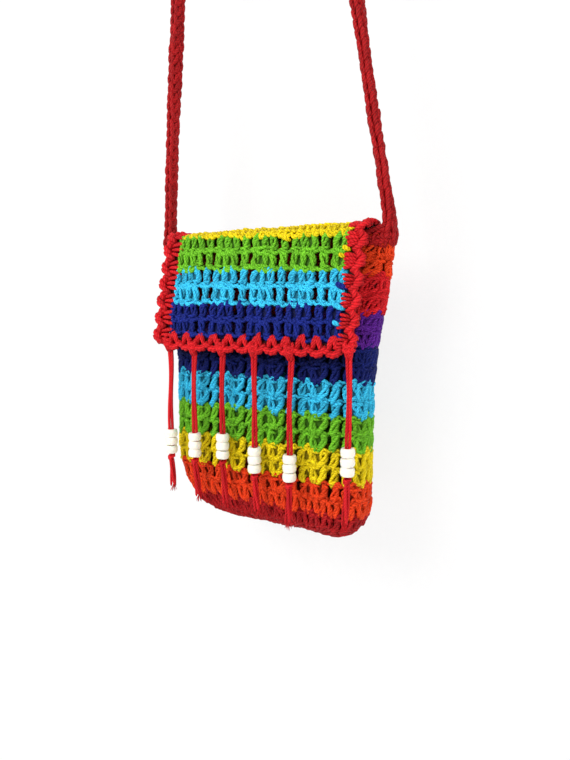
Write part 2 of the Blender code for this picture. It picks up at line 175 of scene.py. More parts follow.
# How strands end, as shares of their thickness. The ways to the front and up
FINE_END, BLUNT_END = 0.35, 0.6
FORWARDS, UPWARDS = np.array((0.0, -1.0, 0.0)), np.array((0.0, 0.0, 1.0))
SLOPE = 0.05  # step for a face's slopes, in stitches and rows
FLAP_STEP = 0.0006  # the same along the flap, in metres
STRAP_STEP = 0.004  # and along the strap
WEB_DEPTH = 0.56  # how deep the sheet behind the stitches lies, in walls
# Painted shade of that sheet, which darkens the gaps between stitches
WEB_SHADE = 0.42


# Where the cloth hangs. Every function takes arrays and gives points, one row each.

def smooth_step(value):
    t = np.clip(value, 0.0, 1.0)
    return t * t * (3 - 2 * t)


def unit(vectors):
    return vectors / np.maximum(np.linalg.norm(vectors, axis=-1, keepdims=True), 1e-9)


def walked(route):
    """How far it is along a route to each of its points."""
    return np.concatenate(([0.0], np.cumsum(np.linalg.norm(np.diff(route, axis=0), axis=1))))


def on_route(route, lengths, at):
    """Points of a route at these lengths, of those to its own points."""
    return np.stack([np.interp(at, lengths, column) for column in route.T], axis=-1)


def row_rise(row):
    """Height above the base at a row. The first rows curve out from under the base."""
    arc = np.maximum(row, 0.0) * LOW_ROW
    quarter = math.pi / 2 * UNDER_RADIUS
    curved = UNDER_RADIUS * (1 - np.cos(np.minimum(arc, quarter) / UNDER_RADIUS))
    low = curved + np.maximum(np.minimum(arc, LOW_ROWS * LOW_ROW) - quarter, 0.0)
    return low + np.maximum(row - LOW_ROWS, 0.0) * ROW


def rounding(rise, radius, inset):
    """How far a wall draws in at this height, where it rounds under."""
    depth = np.clip(1 - rise / radius, 0.0, 1.0)
    return inset * (1 - np.sqrt(1 - depth ** 2))


def rounded_rectangle(share, half_x, half_y, corner):
    """Points at a share of the way round, from the front's left end, towards the right."""
    arc = math.pi / 2 * corner
    straights = (2 * (half_x - corner), 2 * (half_y - corner)) * 2
    length = sum(straights) + 4 * arc
    at = (share % 1.0) * length - arc / 2
    at = np.where(at < 0, at + length, at)
    place = corner - half_x - 1j * half_y
    for straight, along in zip(straights, (1, 1j, -1, -1j)):
        run = np.clip(at, 0.0, straight)
        turn = np.clip(at - straight, 0.0, arc) / corner
        place = place + along * (run + corner * (np.sin(turn) + 1j * (1 - np.cos(turn))))
        at = at - straight - arc
    return place.real, place.imag


def pouch_skin(stitch, row):
    """The pouch's outer face, at a stitch round it and a row up it."""
    rise = row_rise(row)
    spread = smooth_step((rise - SPREAD_START) / (POUCH_HEIGHT - SPREAD_START))
    left = POUCH_HALF_WIDTH - rounding(rise, *LEFT_END)
    right = POUCH_HALF_WIDTH - rounding(rise, *RIGHT_END)
    half_x = (left + right) / 2
    half_y = POUCH_HALF_DEPTH + (MOUTH_HALF_DEPTH - POUCH_HALF_DEPTH) * spread
    half_y = half_y - rounding(rise, UNDER_RADIUS, UNDER_INSET)
    belly = BELLY * np.sin(math.pi * np.minimum(1.0, rise / POUCH_HEIGHT))
    corner = np.minimum(CORNER, 0.8 * half_y)
    x, y = rounded_rectangle(stitch / STITCHES_ROUND, half_x, half_y, corner)
    bulge = GUSSET_BULGE + (np.where(x < 0, LEFT_BULGE, RIGHT_BULGE) - GUSSET_BULGE) * spread
    bulge = bulge * (np.abs(x) / half_x) ** 8 * np.cos(math.pi / 2 * y / half_y)
    belly = belly * (np.abs(y) / half_y) ** 4 * np.cos(math.pi / 2 * x / half_x)
    return np.stack((
        (right - left) / 2 + x + np.copysign(bulge, x),
        y + np.copysign(belly, y),
        BASE_Z + rise,
    ), axis=-1)


def flap_path():
    """Side view of the flap's outer face: up from the back rim, over the top, down the front."""
    back = MOUTH_HALF_DEPTH - FLAP_BACK_INSET
    middle, half_span = (back - FOLD_FRONT) / 2, (back + FOLD_FRONT) / 2
    shoulder = RIM_Z + FLAP_CREST - FOLD_HEIGHT
    route = [(back, RIM_Z + GAP)]
    for i in range(FOLD_STEPS + 1):
        turn = math.pi * i / FOLD_STEPS
        route.append((middle + half_span * math.cos(turn), shoulder + FOLD_HEIGHT * math.sin(turn)))
    for i in range(1, FLAP_FRONT_ROWS + 1):
        share = i / FLAP_FRONT_ROWS
        route.append((-FOLD_FRONT - FLARE * share, shoulder - FLAP_FRONT_ROWS * FLAP_ROW * share))
    return np.array(route)


FLAP_PATH = flap_path()
FLAP_LENGTHS = walked(FLAP_PATH)
FOLD_LENGTH = FLAP_LENGTHS[FOLD_STEPS + 1]
FLAP_END = FLAP_LENGTHS[-1]


def flap_skin(across, arc):
    """The flap's outer face, at a distance across it and a length along it."""
    y = np.interp(arc, FLAP_LENGTHS, FLAP_PATH[:, 0])
    z = np.interp(arc, FLAP_LENGTHS, FLAP_PATH[:, 1])
    beyond = np.maximum(arc - FLAP_END, 0.0)
    run = (FLAP_PATH[-1] - FLAP_PATH[-2]) / (FLAP_LENGTHS[-1] - FLAP_LENGTHS[-2])
    drift = np.where(np.asarray(across) < 0, FLAP_LEFT_DRIFT, 0.0) - FLAP_NARROWING
    grown = 1 + drift * smooth_step(arc / FLAP_END) / FLAP_HALF_WIDTH
    return np.stack((across * grown, y + run[0] * beyond, z + run[1] * beyond), axis=-1)


def flap_stitches(stitch, row):
    """The same face, by stitch and row. Its upper rows hang a little askew."""
    across = stitch * FLAP_STITCH - FLAP_HALF_WIDTH
    arc = np.where(row <= FLAP_TOP_ROWS, row / FLAP_TOP_ROWS * FOLD_LENGTH,
                   FOLD_LENGTH + (row - FLAP_TOP_ROWS) * FLAP_ROW)
    share = np.where(row < FLAP_TOP_ROWS, row / FLAP_TOP_ROWS, (FLAP_ROWS - row) / FLAP_FRONT_ROWS)
    return flap_skin(across, arc + FLAP_SLANT * across / FLAP_HALF_WIDTH * smooth_step(share))


def strap_route():
    """Centre line of the strap from the left foot over the hook to the right foot."""
    bend = HOOK_RADIUS + STRAP_THICK / 2
    top = STRAP_THICK / 2 - bend
    share = np.linspace(0.0, 1.0, 60)
    sides = []
    for side, bulge in ((-1, LEFT_BULGE), (1, RIGHT_BULGE)):
        foot = POUCH_HALF_WIDTH + bulge - STRAP_THICK / 2
        lean = math.asin((foot - bend) / math.hypot(foot, HOOK_DROP + top))
        sway = STRAP_SWAY * 4 * share * (1 - share)
        x = side * (foot + (bend * math.cos(lean) - foot) * share) - sway
        start, leave = RIM_Z + STRAP_FOOT_RISE, top + bend * math.sin(lean)
        run = np.stack((x, start + (leave - start) * share), axis=-1)
        sides.append((np.concatenate(([[side * foot, RIM_Z + GAP]], run)), lean))
    (left, left_lean), (right, right_lean) = sides
    angle = np.linspace(math.pi - left_lean, right_lean, 17)[1:-1]
    over = np.stack((bend * np.cos(angle), top + bend * np.sin(angle)), axis=-1)
    return np.concatenate((left, over, right[::-1]))


STRAP_ROUTE = strap_route()
STRAP_LENGTHS = walked(STRAP_ROUTE)


def strap_frame(length):
    """The strap's centre line and its thin direction, at a length along it."""
    before, at, after = (on_route(STRAP_ROUTE, STRAP_LENGTHS, length + step * STRAP_STEP)
                         for step in (-1, 0, 1))
    along = unit(after - before)
    zero = np.zeros(length.shape)
    centre = np.stack((at[..., 0], zero, at[..., 1]), axis=-1)
    return centre, np.stack((-along[..., 1], zero, along[..., 0]), axis=-1)


# Laying yarn

def outward(skin, stitch, row):
    """Unit normals of a face, from its slopes along a stitch and up a row."""
    across = skin(stitch + SLOPE, row) - skin(stitch - SLOPE, row)
    up = skin(stitch, row + SLOPE) - skin(stitch, np.maximum(row - SLOPE, 0.0))
    return unit(np.cross(up, across) if skin is flap_stitches else np.cross(across, up))


def drawn(*points, count=7):
    """A smooth strand through listed points, given as many evenly spaced ones."""
    knots = np.array(points, float)
    ends = np.concatenate(([2 * knots[0] - knots[1]], knots, [2 * knots[-1] - knots[-2]]))
    at = np.linspace(0, len(knots) - 1, count)
    i = np.minimum(at.astype(int), len(knots) - 2)
    t = (at - i)[:, None]
    a, b, c, d = ends[i], ends[i + 1], ends[i + 2], ends[i + 3]
    return 0.5 * (2 * b + (c - a) * t + (2 * a - 5 * b + 4 * c - d) * t ** 2
                  + (3 * b - a - 3 * c + d) * t ** 3)


class Yarn:
    """Collects strands, then makes one mesh of them with its yarn and shade coordinates."""

    def __init__(self, rng, sides=5):
        self.rng, self.sides = rng, sides
        self.settings = bpy.context.scene.bag_yarn
        self.corners, self.faces, self.uvs, self.tones = [], [], [], []
        self.count = 0

    def strand(self, path, radius, normals, shade, taper=FINE_END):
        """Adds one strand, with a tone of its own."""
        self.add(path[None], radius, normals, shade, [self.rng.random()], taper)

    def add(self, paths, radius, normals, shade, tone, taper=FINE_END):
        """Sweeps a round section along paths of equal length. shade paints shade on what lies deep.
        """
        paths = np.asarray(paths, float)
        strands, steps = paths.shape[:2]
        sides = self.sides
        radius = np.broadcast_to(np.asarray(radius, float), (strands, steps)).copy()
        shade = np.broadcast_to(np.asarray(shade, float), (strands, steps))
        tone = np.asarray(tone, float)
        normals = np.broadcast_to(normals, paths.shape)
        along = unit(np.gradient(paths, axis=1))
        side = np.empty_like(paths)
        side[:, 0] = np.cross(along[:, 0], normals[:, 0])
        weak = np.linalg.norm(side[:, 0], axis=-1) < 0.05
        side[weak, 0] = np.cross(along[weak, 0], (0.31, 0.57, 0.76))
        for i in range(steps):
            line = side[:, max(i - 1, 0)]
            slant = np.sum(line * along[:, i], axis=-1, keepdims=True)
            side[:, i] = unit(line - along[:, i] * slant)
        over = np.cross(side, along)
        radius[:, (0, -1)] *= taper
        turn = np.arange(sides)
        angle = (2 * math.pi * turn / sides)[:, None]
        ring = side[:, :, None] * np.cos(angle) + over[:, :, None] * np.sin(angle)
        points = paths[:, :, None] + ring * radius[:, :, None, None]
        self.corners.append(points.reshape(-1, 3))
        moved = np.linalg.norm(np.diff(paths, axis=1, prepend=paths[:, :1]), axis=-1)
        length = np.cumsum(moved, axis=1)
        first = self.count + np.arange(strands)[:, None, None] * steps * sides
        i = np.arange(steps - 1)[None, :, None]
        j = turn[None, None, :]
        k = (j + 1) % sides
        quad = np.stack((first + i * sides + j, first + i * sides + k,
                         first + (i + 1) * sides + k, first + (i + 1) * sides + j), axis=-1)
        self.faces.append((quad.reshape(-1, 4), 4))
        low, high, start, dark, pale, own = (
            np.broadcast_to(values, quad.shape[:3]) for values in
            (length[:, :-1, None], length[:, 1:, None], j / sides,
             shade[:, :-1, None], shade[:, 1:, None], tone[:, None, None]))
        end = start + 1 / sides
        for layer, corners in ((self.uvs, (low, start, low, end, high, end, high, start)),
                               (self.tones, (dark, own, dark, own, pale, own, pale, own))):
            layer.append(np.stack(corners, axis=-1).reshape(-1, 2))
        for step, order in ((0, turn[::-1]), (steps - 1, turn)):
            self.faces.append((first[:, 0] + step * sides + order, sides))
            for layer, corners in ((self.uvs, (length[:, step], np.tile(turn / sides, strands))),
                                   (self.tones, (shade[:, step], np.repeat(tone, sides)))):
                layer.append(np.stack((np.repeat(corners[0], sides), corners[1]), axis=-1))
        self.count += strands * steps * sides

    def web(self, grid, cells, shade):
        """A thin sheet behind the stitches, which keeps light from shining between them. Its dark
        colour is painted shade in the gaps.
        """
        rows, columns = grid.shape[:2]
        self.corners.append(grid.reshape(-1, 3))
        i, j = np.nonzero(cells)
        first = self.count + i * columns + j
        quad = np.stack((first, first + 1, first + columns + 1, first + columns), axis=-1)
        self.faces.append((quad, 4))
        self.uvs.append(np.tile((0.0, 0.5), (quad.size, 1)))
        self.tones.append(np.tile((shade, 0.5), (quad.size, 1)))
        self.count += rows * columns

    def piece(self, name, colour, *nodes):
        """One mesh of all the strands, riding on the bag in place of its solids."""
        corners = np.concatenate(self.corners)
        loops = np.concatenate([f.ravel() for f, sides in self.faces])
        totals = np.concatenate([np.full(f.size // sides, sides) for f, sides in self.faces])
        starts = np.concatenate(([0], np.cumsum(totals)[:-1]))
        mesh = bpy.data.meshes.new(name)
        mesh.vertices.add(len(corners))
        mesh.vertices.foreach_set("co", corners.astype(np.float32).ravel())
        mesh.loops.add(len(loops))
        mesh.loops.foreach_set("vertex_index", loops.astype(np.int32))
        mesh.polygons.add(len(totals))
        mesh.polygons.foreach_set("loop_start", starts.astype(np.int32))
        mesh.update(calc_edges=True)
        for layer, values in (("yarn", self.uvs), ("shade", self.tones)):
            uv = mesh.uv_layers.new(name=layer)
            uv.data.foreach_set("uv", np.concatenate(values).astype(np.float32).ravel())
        mesh.validate()
        mesh.shade_smooth()
        mesh.materials.append(yarn(colour))
        obj = bpy.data.objects.new(name, mesh)
        bpy.context.scene.collection.objects.link(obj)
        return settle(obj, f"yarn_{colour}", *nodes)


def around(angle, radius, rise):
    """Points round an upright axis."""
    return np.stack((np.cos(angle) * radius, np.sin(angle) * radius, rise), axis=-1)


def edit_chosen(obj, kind, chosen):
    """Opens a mesh for editing, with only its chosen faces or edges selected."""
    bpy.ops.object.mode_set(mode="EDIT")
    bpy.ops.mesh.select_mode(type=kind)
    bpy.ops.mesh.select_all(action="DESELECT")
    mesh = bmesh.from_edit_mesh(obj.data)
    for item in mesh.faces if kind == "FACE" else mesh.edges:
        item.select = chosen(item)
    bmesh.update_edit_mesh(obj.data)


def settle(obj, slot, *nodes):
    """Hangs a finished piece on the bag's body and hides the solids it stands for. The slot is not
    used.
    """
    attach(obj, BODY)
    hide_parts(*nodes)
    return obj


# Shader expressions

class Shade:
    """A number or colour in a material. Arithmetic on it adds the nodes."""

    def __init__(self, finish, socket):
        self.finish, self.socket = finish, socket

    def beside(self, name):
        """Another output of the same node."""
        return Shade(self.finish, self.finish.find(self.socket.node.outputs, name))

    def math(self, operation, *others):
        values = {i: getattr(o, "socket", o) for i, o in enumerate((self, *others))}
        return self.finish.node("ShaderNodeMath", values, operation=operation)

    __add__ = __radd__ = partialmethod(math, "ADD")
    __mul__ = __rmul__ = partialmethod(math, "MULTIPLY")
    __sub__ = partialmethod(math, "SUBTRACT")
    __pow__ = partialmethod(math, "POWER")
    sine = partialmethod(math, "SINE")
    absolute = partialmethod(math, "ABSOLUTE")

    def clamp(self):
        return self.math("MAXIMUM", 0.0).math("MINIMUM", 1.0)


class Finish:
    """The nodes of a new material, or of the world."""

    def __init__(self, owner):
        owner.use_nodes = True
        self.owner = owner
        self.nodes = owner.node_tree.nodes
        self.links = owner.node_tree.links
        self.shader = self.nodes.get("Principled BSDF")

    def node(self, kind, values=None, output=0, **settings):
        """Adds a node: its settings first, then its sockets, by name or number."""
        node = self.nodes.new(kind)
        for key, value in settings.items():
            setattr(node, key, value)
        for key, value in (values or {}).items():
            self.plug(self.find(node.inputs, key), value)
        return Shade(self, self.find(node.outputs, output))

    @staticmethod
    def find(sockets, key):
        """A socket by number or identifier, or by name where no identifier fits."""
        if isinstance(key, int):
            return sockets[key]
        for socket in sockets:
            if socket.identifier == key:
                return socket
        return sockets[key]

    def plug(self, socket, value):
        value = getattr(value, "socket", value)
        if isinstance(value, bpy.types.NodeSocket):
            self.links.new(value, socket)
        else:
            socket.default_value = value

    def set(self, **values):
        """Sets the shader's own sockets, written with underscores for spaces."""
        for key, value in values.items():
            self.plug(self.shader.inputs[key.replace("_", " ")], value)

    def mix(self, factor, first, second):
        return self.node("ShaderNodeMix",
                         {"Factor_Float": factor, "A_Color": first, "B_Color": second},
                         "Result_Color", data_type="RGBA")

    def blend(self, factor, first, second):
        """Two shaders mixed."""
        return self.node("ShaderNodeMixShader", {0: factor, 1: first, 2: second})

    def noise(self, scale, detail, roughness=0.5):
        """Mottling fixed to the piece."""
        return self.node("ShaderNodeTexNoise",
                         {"Vector": self.node("ShaderNodeTexCoord", output="Object"),
                          "Scale": scale, "Detail": detail, "Roughness": roughness})

    def bump(self, strength, distance, height):
        return self.node("ShaderNodeBump",
                         {"Strength": strength, "Distance": distance, "Height": height}, "Normal")

    def looked_at(self):
        """1 where the camera sees this, straight or by way of gloss or glass."""
        ray = self.node("ShaderNodeLightPath", output="Is Camera Ray")
        return (ray + ray.beside("Is Glossy Ray") + ray.beside("Is Transmission Ray")).clamp()


def opaque(colour, scale=1.0, rise=0.0):
    """A colour scaled and raised, no brighter than 1, with its alpha."""
    return tuple(min(1.0, c * scale + rise) for c in colour) + (1.0,)


def yarn_material(name, colour, settings):
    """Plied cotton: its plies show as slanting ridges with painted shade in their grooves, and
    painted shade darkens it deep in the cloth.
    """
    finish = Finish(bpy.data.materials.new(name))
    length, depth = (finish.node("ShaderNodeSeparateXYZ",
                                 {0: finish.node("ShaderNodeUVMap", uv_map=layer)}, "X")
                     for layer in ("yarn", "shade"))
    around, tone = length.beside("Y"), depth.beside("Y")
    twist = length * (math.pi / settings.ply_pitch) + around * (math.pi * settings.plies)
    ply = twist.sine().absolute()
    fibre, patch = finish.noise(FIBRE_SCALE, 2.0, 0.6), finish.noise(PATCH_SCALE, 1.0)
    light = (tone - 0.5) * settings.tone_spread + (patch - 0.5) * 0.25 + (fibre - 0.5) * 0.30
    # Painted shade: the shade layer darkens what lies deep, and each ply is painted darker in its
    # grooves than on its ridges.
    value = (depth ** 1.3) * (0.50 + 0.50 * ply) * (light + 1.0)
    shown = finish.mix(value.clamp(), opaque(colour, 0.05), opaque(colour, 1.12, 0.004))
    finish.set(Base_Color=shown, Normal=finish.bump(0.8, 0.0005, ply * 0.75 + fibre * 0.5),
               Roughness=settings.roughness, Specular_IOR_Level=0.14, Sheen_Weight=settings.sheen,
               Sheen_Roughness=0.45, Sheen_Tint=opaque(colour, 1.0, 0.25))
    return finish.owner


def bead_material(colour):
    """Cream plastic with a soft gloss, faintly mottled."""
    finish = Finish(bpy.data.materials.new("bead_cream_plastic"))
    cloud = finish.noise(BEAD_SCALE, 2.0)
    finish.set(Base_Color=finish.mix(cloud, opaque(colour, 0.86), opaque(colour)),
               Normal=finish.bump(0.15, 0.0002, cloud),
               Roughness=cloud * 0.12 + 0.30, Coat_Weight=0.3, Coat_Roughness=0.25,
               Subsurface_Weight=0.15, Subsurface_Scale=0.001)
    return finish.owner


def wall_material():
    """Pale and grainy. It glows where it is looked at, and is clear from behind."""
    finish = Finish(bpy.data.materials.new("pale_wall"))
    finish.set(Base_Color=(0.86, 0.86, 0.86, 1.0), Roughness=0.9,
               Normal=finish.bump(0.25, 0.0012, finish.noise(WALL_SCALE, 3.0)))
    glow = finish.node("ShaderNodeEmission", {"Color": WHITE, "Strength": 1.0}, "Emission")
    lit = Shade(finish, finish.shader.outputs[0])
    back = finish.node("ShaderNodeNewGeometry", output="Backfacing")
    front = finish.blend(finish.looked_at() * 0.80, lit, glow)
    finish.plug(finish.nodes["Material Output"].inputs["Surface"],
                finish.blend(back, front, finish.node("ShaderNodeBsdfTransparent")))
    return finish.owner


# Settings that a user would change

def colour_property(label, description, default):
    return bpy.props.FloatVectorProperty(name=label, description=description, default=default,
                                         subtype="COLOR", size=3, min=0.0, max=1.0)


def amount_property(label, description, default, high=1.0, **more):
    return bpy.props.FloatProperty(name=label, description=description, default=default,
                                   min=0.0, max=high, **more)


def size_property(label, description, default):
    return amount_property(label, description, default, subtype="DISTANCE", unit="LENGTH")


def angle_property(label, description, degrees):
    return bpy.props.FloatProperty(name=label, description=description, subtype="ANGLE",
                                   unit="ROTATION", default=math.radians(degrees))


class BagYarnSettings(bpy.types.PropertyGroup):
    """Sizes and finish of the yarn."""
    radius: size_property("Yarn radius", "Half the thickness of a strand in a stitch", 0.00116)
    tassel_radius: size_property("Tassel radius", "The same for a strand of a tassel", 0.00112)
    ply_pitch: size_property("Ply pitch", "Distance along the yarn between two plies", 0.0021)
    plies: bpy.props.IntProperty(name="Plies", description="Ridges round the yarn", default=4,
                                 min=1)
    roughness: amount_property("Roughness", "Roughness of the cotton", 0.62)
    sheen: amount_property("Sheen", "Soft shine of the fibres", 0.0)
    tone_spread: amount_property("Tone spread", "How much stitches differ", 0.35)
    looseness: amount_property("Looseness", "How unevenly stitches sit", 1.0, 3.0)


class BagColourSettings(bpy.types.PropertyGroup):
    """Colours of the yarns and the beads."""
    # Dark red darkens the red yarn with painted shade, for the base that hangs in shade; the strap
    # and its fans take the same dark red.
    dark_red: colour_property("Dark red", "Yarn of the base and the strap", (0.40, 0.004, 0.006))
    red: colour_property("Red", "Yarn of edging, tassels and a stripe", (0.70, 0.008, 0.014))
    orange: colour_property("Orange", "Yarn of two stripes", (0.84, 0.050, 0.004))
    yellow: colour_property("Yellow", "Yarn of the flap's top and a stripe", (0.95, 0.68, 0.002))
    green: colour_property("Green", "Yarn of two stripes", (0.17, 0.55, 0.018))
    sky: colour_property("Sky blue", "Yarn of two stripes", (0.040, 0.58, 0.98))
    navy: colour_property("Navy", "Yarn of two stripes", (0.004, 0.016, 0.22))
    purple: colour_property("Purple", "Yarn of a stripe", (0.11, 0.010, 0.28))
    bead: colour_property("Bead", "Plastic of the beads", (0.96, 0.92, 0.80))


class BagStageSettings(bpy.types.PropertyGroup):
    """The camera and the lamps."""
    camera_place: bpy.props.FloatVectorProperty(
        name="Camera", description="Where the camera stands", default=(0.2257, -0.3624, -0.6447),
        subtype="TRANSLATION", unit="LENGTH", size=3)
    turn: angle_property("Turn", "Turn of the view to the left", 30.5)
    dip: angle_property("Dip", "Angle of the view below level", 6.65)
    roll: angle_property("Roll", "Turn of the camera about its view", 0.55)
    lens: amount_property("Lens", "Focal length in millimetres", 28.4, 500.0)
    key: amount_property("Key lamp", "Power of the main lamp in watts", 16.5, 1000.0)
    fill: amount_property("Fill lamp", "Power of the second lamp in watts", 5.0, 1000.0)
    sky: amount_property("Surroundings", "Strength of the light all round", 0.62, 10.0)


MATERIALS = {}


def yarn(colour):
    """The material of a yarn, made on its first use."""
    if colour not in MATERIALS:
        scene = bpy.context.scene
        MATERIALS[colour] = yarn_material(f"yarn_{colour}_cotton",
                                          tuple(getattr(scene.bag_colours, colour)), scene.bag_yarn)
    return MATERIALS[colour]


# Stitches, as strands through (along the row, up the row, out), in stitches, rows and yarn radii

def post(phase):
    """One of a post's three strands. They start from a point, wind and end under the chain."""
    level = np.array((-0.24, -0.06, 0.14, 0.36, 0.58, 0.76, 0.92))
    spread = np.array((0.30, 0.85, 1.0, 0.95, 1.0, 0.9, 0.6))
    turn = math.radians(phase) + level * 3.4
    return np.stack((0.265 * spread * np.sin(turn), level, 0.35 + 0.62 * np.cos(turn)
                     + np.array((-1.5, -0.1, 0.2, 0.2, 0.1, 0.0, -0.5))), axis=-1)


POSTS = (post(20), post(140), post(260))
POST_LEAN = 0.46  # how far the pouch's posts lean to each other, in stitches a row
FOOT = drawn((-0.46, 0.20, -0.7), (-0.22, 0.08, 0.8), (0.10, 0.14, 1.2), (0.44, 0.27, -0.1),
             count=5)
ARCH = drawn((-0.14, 0.72, 0.2), (0.05, 0.91, 1.1), (0.27, 1.05, 1.3), (0.52, 1.11, 1.2),
             (0.77, 1.03, 1.1), (1.02, 0.80, -0.1), count=7)
MID_ARCH = drawn((-0.30, 0.80, -0.4), (0.10, 0.95, 0.7), (0.50, 0.97, 0.9), (0.92, 0.86, 0.7),
                 (1.08, 0.74, -0.4), count=5)
LOW_ARCH = drawn((-0.40, 0.62, -0.6), (-0.05, 0.74, 0.9), (0.35, 0.80, 1.0), (0.75, 0.74, 0.4),
                 count=5)
BRIDGE = drawn((-0.16, 0.78, -0.2), (0.10, 0.92, 0.9), (0.50, 1.01, 1.1), (0.90, 0.94, 0.9),
               (1.12, 0.80, -0.2), count=5)
LOW_BRIDGE = drawn((-0.16, 0.84, -1.2), (0.30, 0.93, -0.4), (0.70, 0.93, -0.4), (1.12, 0.84, -1.2),
                   count=4)


# The strap's strands, in shares of its half sizes and its rows, a link under the base, the legs of
# a tassel's hitch, in yarn radii, and how far strands stand proud along their way
STRAP_OUTER = drawn((0.35, -0.45, 0.1), (0.80, 0.00, 0.75), (1.02, 0.40, 0.75),
                    (1.00, 0.85, 0.55), (0.60, 1.25, 0.1), count=6)
STRAP_INNER = drawn((0.90, -0.40, 0.3), (0.52, 0.10, 1.05), (0.20, 0.55, 1.1),
                    (0.02, 0.95, 0.8), (0.10, 1.30, 0.2), count=6)
STRAP_RUNG = drawn((-0.80, 0.70, 0.2), (-0.35, 0.98, 0.85), (0.30, 1.00, 0.85),
                   (0.80, 0.76, 0.2), count=5)
STRAP_CORE = drawn((0.0, -0.3, 0.25), (0.15, 0.2, 0.5), (-0.15, 0.8, 0.5), (0.0, 1.3, 0.25),
                   count=5)
BASE_LINK = drawn((-0.7, -1.0, 0.2), (-0.2, -1.5, -0.6), (0.4, -0.9, -0.9), (0.8, 0.1, -0.2),
                  count=6)
HITCH_OUTER = drawn((0.9, -0.8, -3.4), (1.5, -1.6, -0.8), (2.3, -2.4, 2.2), (2.5, -2.2, 5.0),
                    (1.4, -0.6, 7.0), count=8)
HITCH_INNER = drawn((0.5, -1.6, -2.4), (0.7, -2.7, 0.0), (0.9, -3.3, 2.6), (0.7, -2.6, 5.4),
                    count=6)
FAN_PROUD = np.array((-0.8, 0.3, 0.8, 0.9, 0.8, 0.4, -1.0))
SHELL_PROUD = np.array((-1.3, 0.8, 1.2, 1.0, 0.4, -0.3, -1.0)) - 0.9
STEPS_OF_SEVEN = np.linspace(0.0, 1.0, 7)

# Unevenness of a stitch's width, place, height, tilt and rise out of the cloth, in stitches, rows
# and yarn radii, and of its yarn's thickness
UNEVEN = (0.12, 0.045, 0.035, 0.02, 0.22)
THICKNESS_SPREAD = 0.07
HOLE_PULL = (0.44, 0.50)  # how far stitches lean into holes, in even and odd rows
POUCH_PULL = 1.25  # and how much further on the pouch
POUCH_CHAIN = 0.88  # thickness of the pouch's chains, beside the flap's
POUCH_CHAIN_DROP = 0.40  # how much deeper they lie, in yarn radii
POUCH_POST_LIFT = 0.25  # how much prouder its posts stand
STITCH_DEPTH = 1.30  # how deep stitches lie in the cloth, in yarn radii
WAVES = 0.0003  # how far the cloth waves out of its face, in metres
BETWEEN_HOLES = 1.22  # width of a post that stands alone between two holes


def hole_stitches(first):
    return [first + HOLE_PERIOD * i + j for i in range(HOLE_PAIRS) for j in (0, 2)]


def drawn_in(stitch, holes, pull):
    """How far the stitches beside a hole lean into it."""
    lean = np.zeros_like(stitch)
    for hole in holes:
        off = stitch - hole - 0.5
        far = np.abs(off)
        near = np.minimum(far / 0.7, 1.0) * np.exp(-np.maximum(far - 1.1, 0.0) * 0.9)
        lean -= np.sign(off) * near * pull
    return lean


def sag(stitch, row, on_flap):
    """How far a row hangs out of line at a stitch, in rows. Each second post of the pouch dips."""
    slack = 0.035 * np.sin(stitch * 0.9 + row * 1.7) + 0.025 * np.sin(stitch * 2.3 + row * 0.6)
    return slack if on_flap else slack + 0.05 * np.sin(math.pi * (stitch - 0.5))


def lay_rows(yarn_mesh, skin, stitches, row, holes, mirrored=False, dim=None):
    """Lays one row of double crochet along a face, leaving its holes as bridges of chain."""
    rng, radius, loose = yarn_mesh.rng, yarn_mesh.settings.radius, yarn_mesh.settings.looseness
    on_flap = skin is flap_stitches
    whole = np.array([s for s in stitches if s not in holes], float)
    bridged = {s for s in stitches if s in holes or s + 1 in holes}
    arched = np.array([s for s in stitches if s not in bridged
                       and not (on_flap and (s == stitches[-1] or row == FLAP_ROWS - 1))], float)
    pull = HOLE_PULL[row % 2] * (1.0 if on_flap else POUCH_PULL)
    bridges = np.array(sorted(bridged), float)
    between = [BETWEEN_HOLES if s - 1 in holes and s + 1 in holes else 1.0 for s in whole]
    strands = [(strand, whole, 1.0) for strand in POSTS]
    strands += [(FOOT, whole, 1.05), (LOW_ARCH, whole, 1.0), (MID_ARCH, arched, 1.0),
                (ARCH, arched, 1.15), (BRIDGE, bridges, 1.08), (LOW_BRIDGE, bridges, 1.0)]
    for template, places, thickness in strands:
        if not len(places):
            continue
        count = len(places)
        u, v, w = (np.tile(column, (count, 1)) for column in template.T)
        if places is whole:
            u = -u if mirrored else u
            if not on_flap:
                u = u + POST_LEAN * (v - 0.45) * np.where(places % 2 < 1, 1.0, -1.0)[:, None]
                w = w + POUCH_POST_LIFT
            u = u * np.array(between)[:, None]
        elif not on_flap:
            w = w - POUCH_CHAIN_DROP
            thickness = thickness * POUCH_CHAIN
        widen, shift, rise, tilt, proud = (
            spread * loose * rng.standard_normal((count, 1)) for spread in UNEVEN)
        u = u * (1 + widen) + shift
        v = v + rise + tilt * np.linspace(-1, 1, v.shape[1])
        w = w + proud
        stitch = places[:, None] + 0.5 + u
        waist = np.sin(math.pi * np.clip(v, 0.0, 1.0)) ** 0.6
        stitch = stitch + drawn_in(stitch, holes, pull) * waist
        level = row + v + sag(stitch, row, on_flap)
        base = skin(stitch, level)
        normals = outward(skin, stitch, level)
        depth = (w - STITCH_DEPTH) * radius + WAVES * np.sin(stitch * 0.55 + row * 2.1)
        # Painted shade: strands that lie deeper in the cloth are darker, and dim adds the painted
        # shadow under the flap and the bands' painted shade.
        shade = np.clip(0.62 + 0.34 * w, 0.12, 1.0)
        if dim is not None:
            shade = shade * dim(base)
        thick = radius * thickness * (1 + THICKNESS_SPREAD * rng.standard_normal((count, 1)))
        yarn_mesh.add(base + normals * depth[..., None], thick, normals, shade,
                      rng.random(count), BLUNT_END)


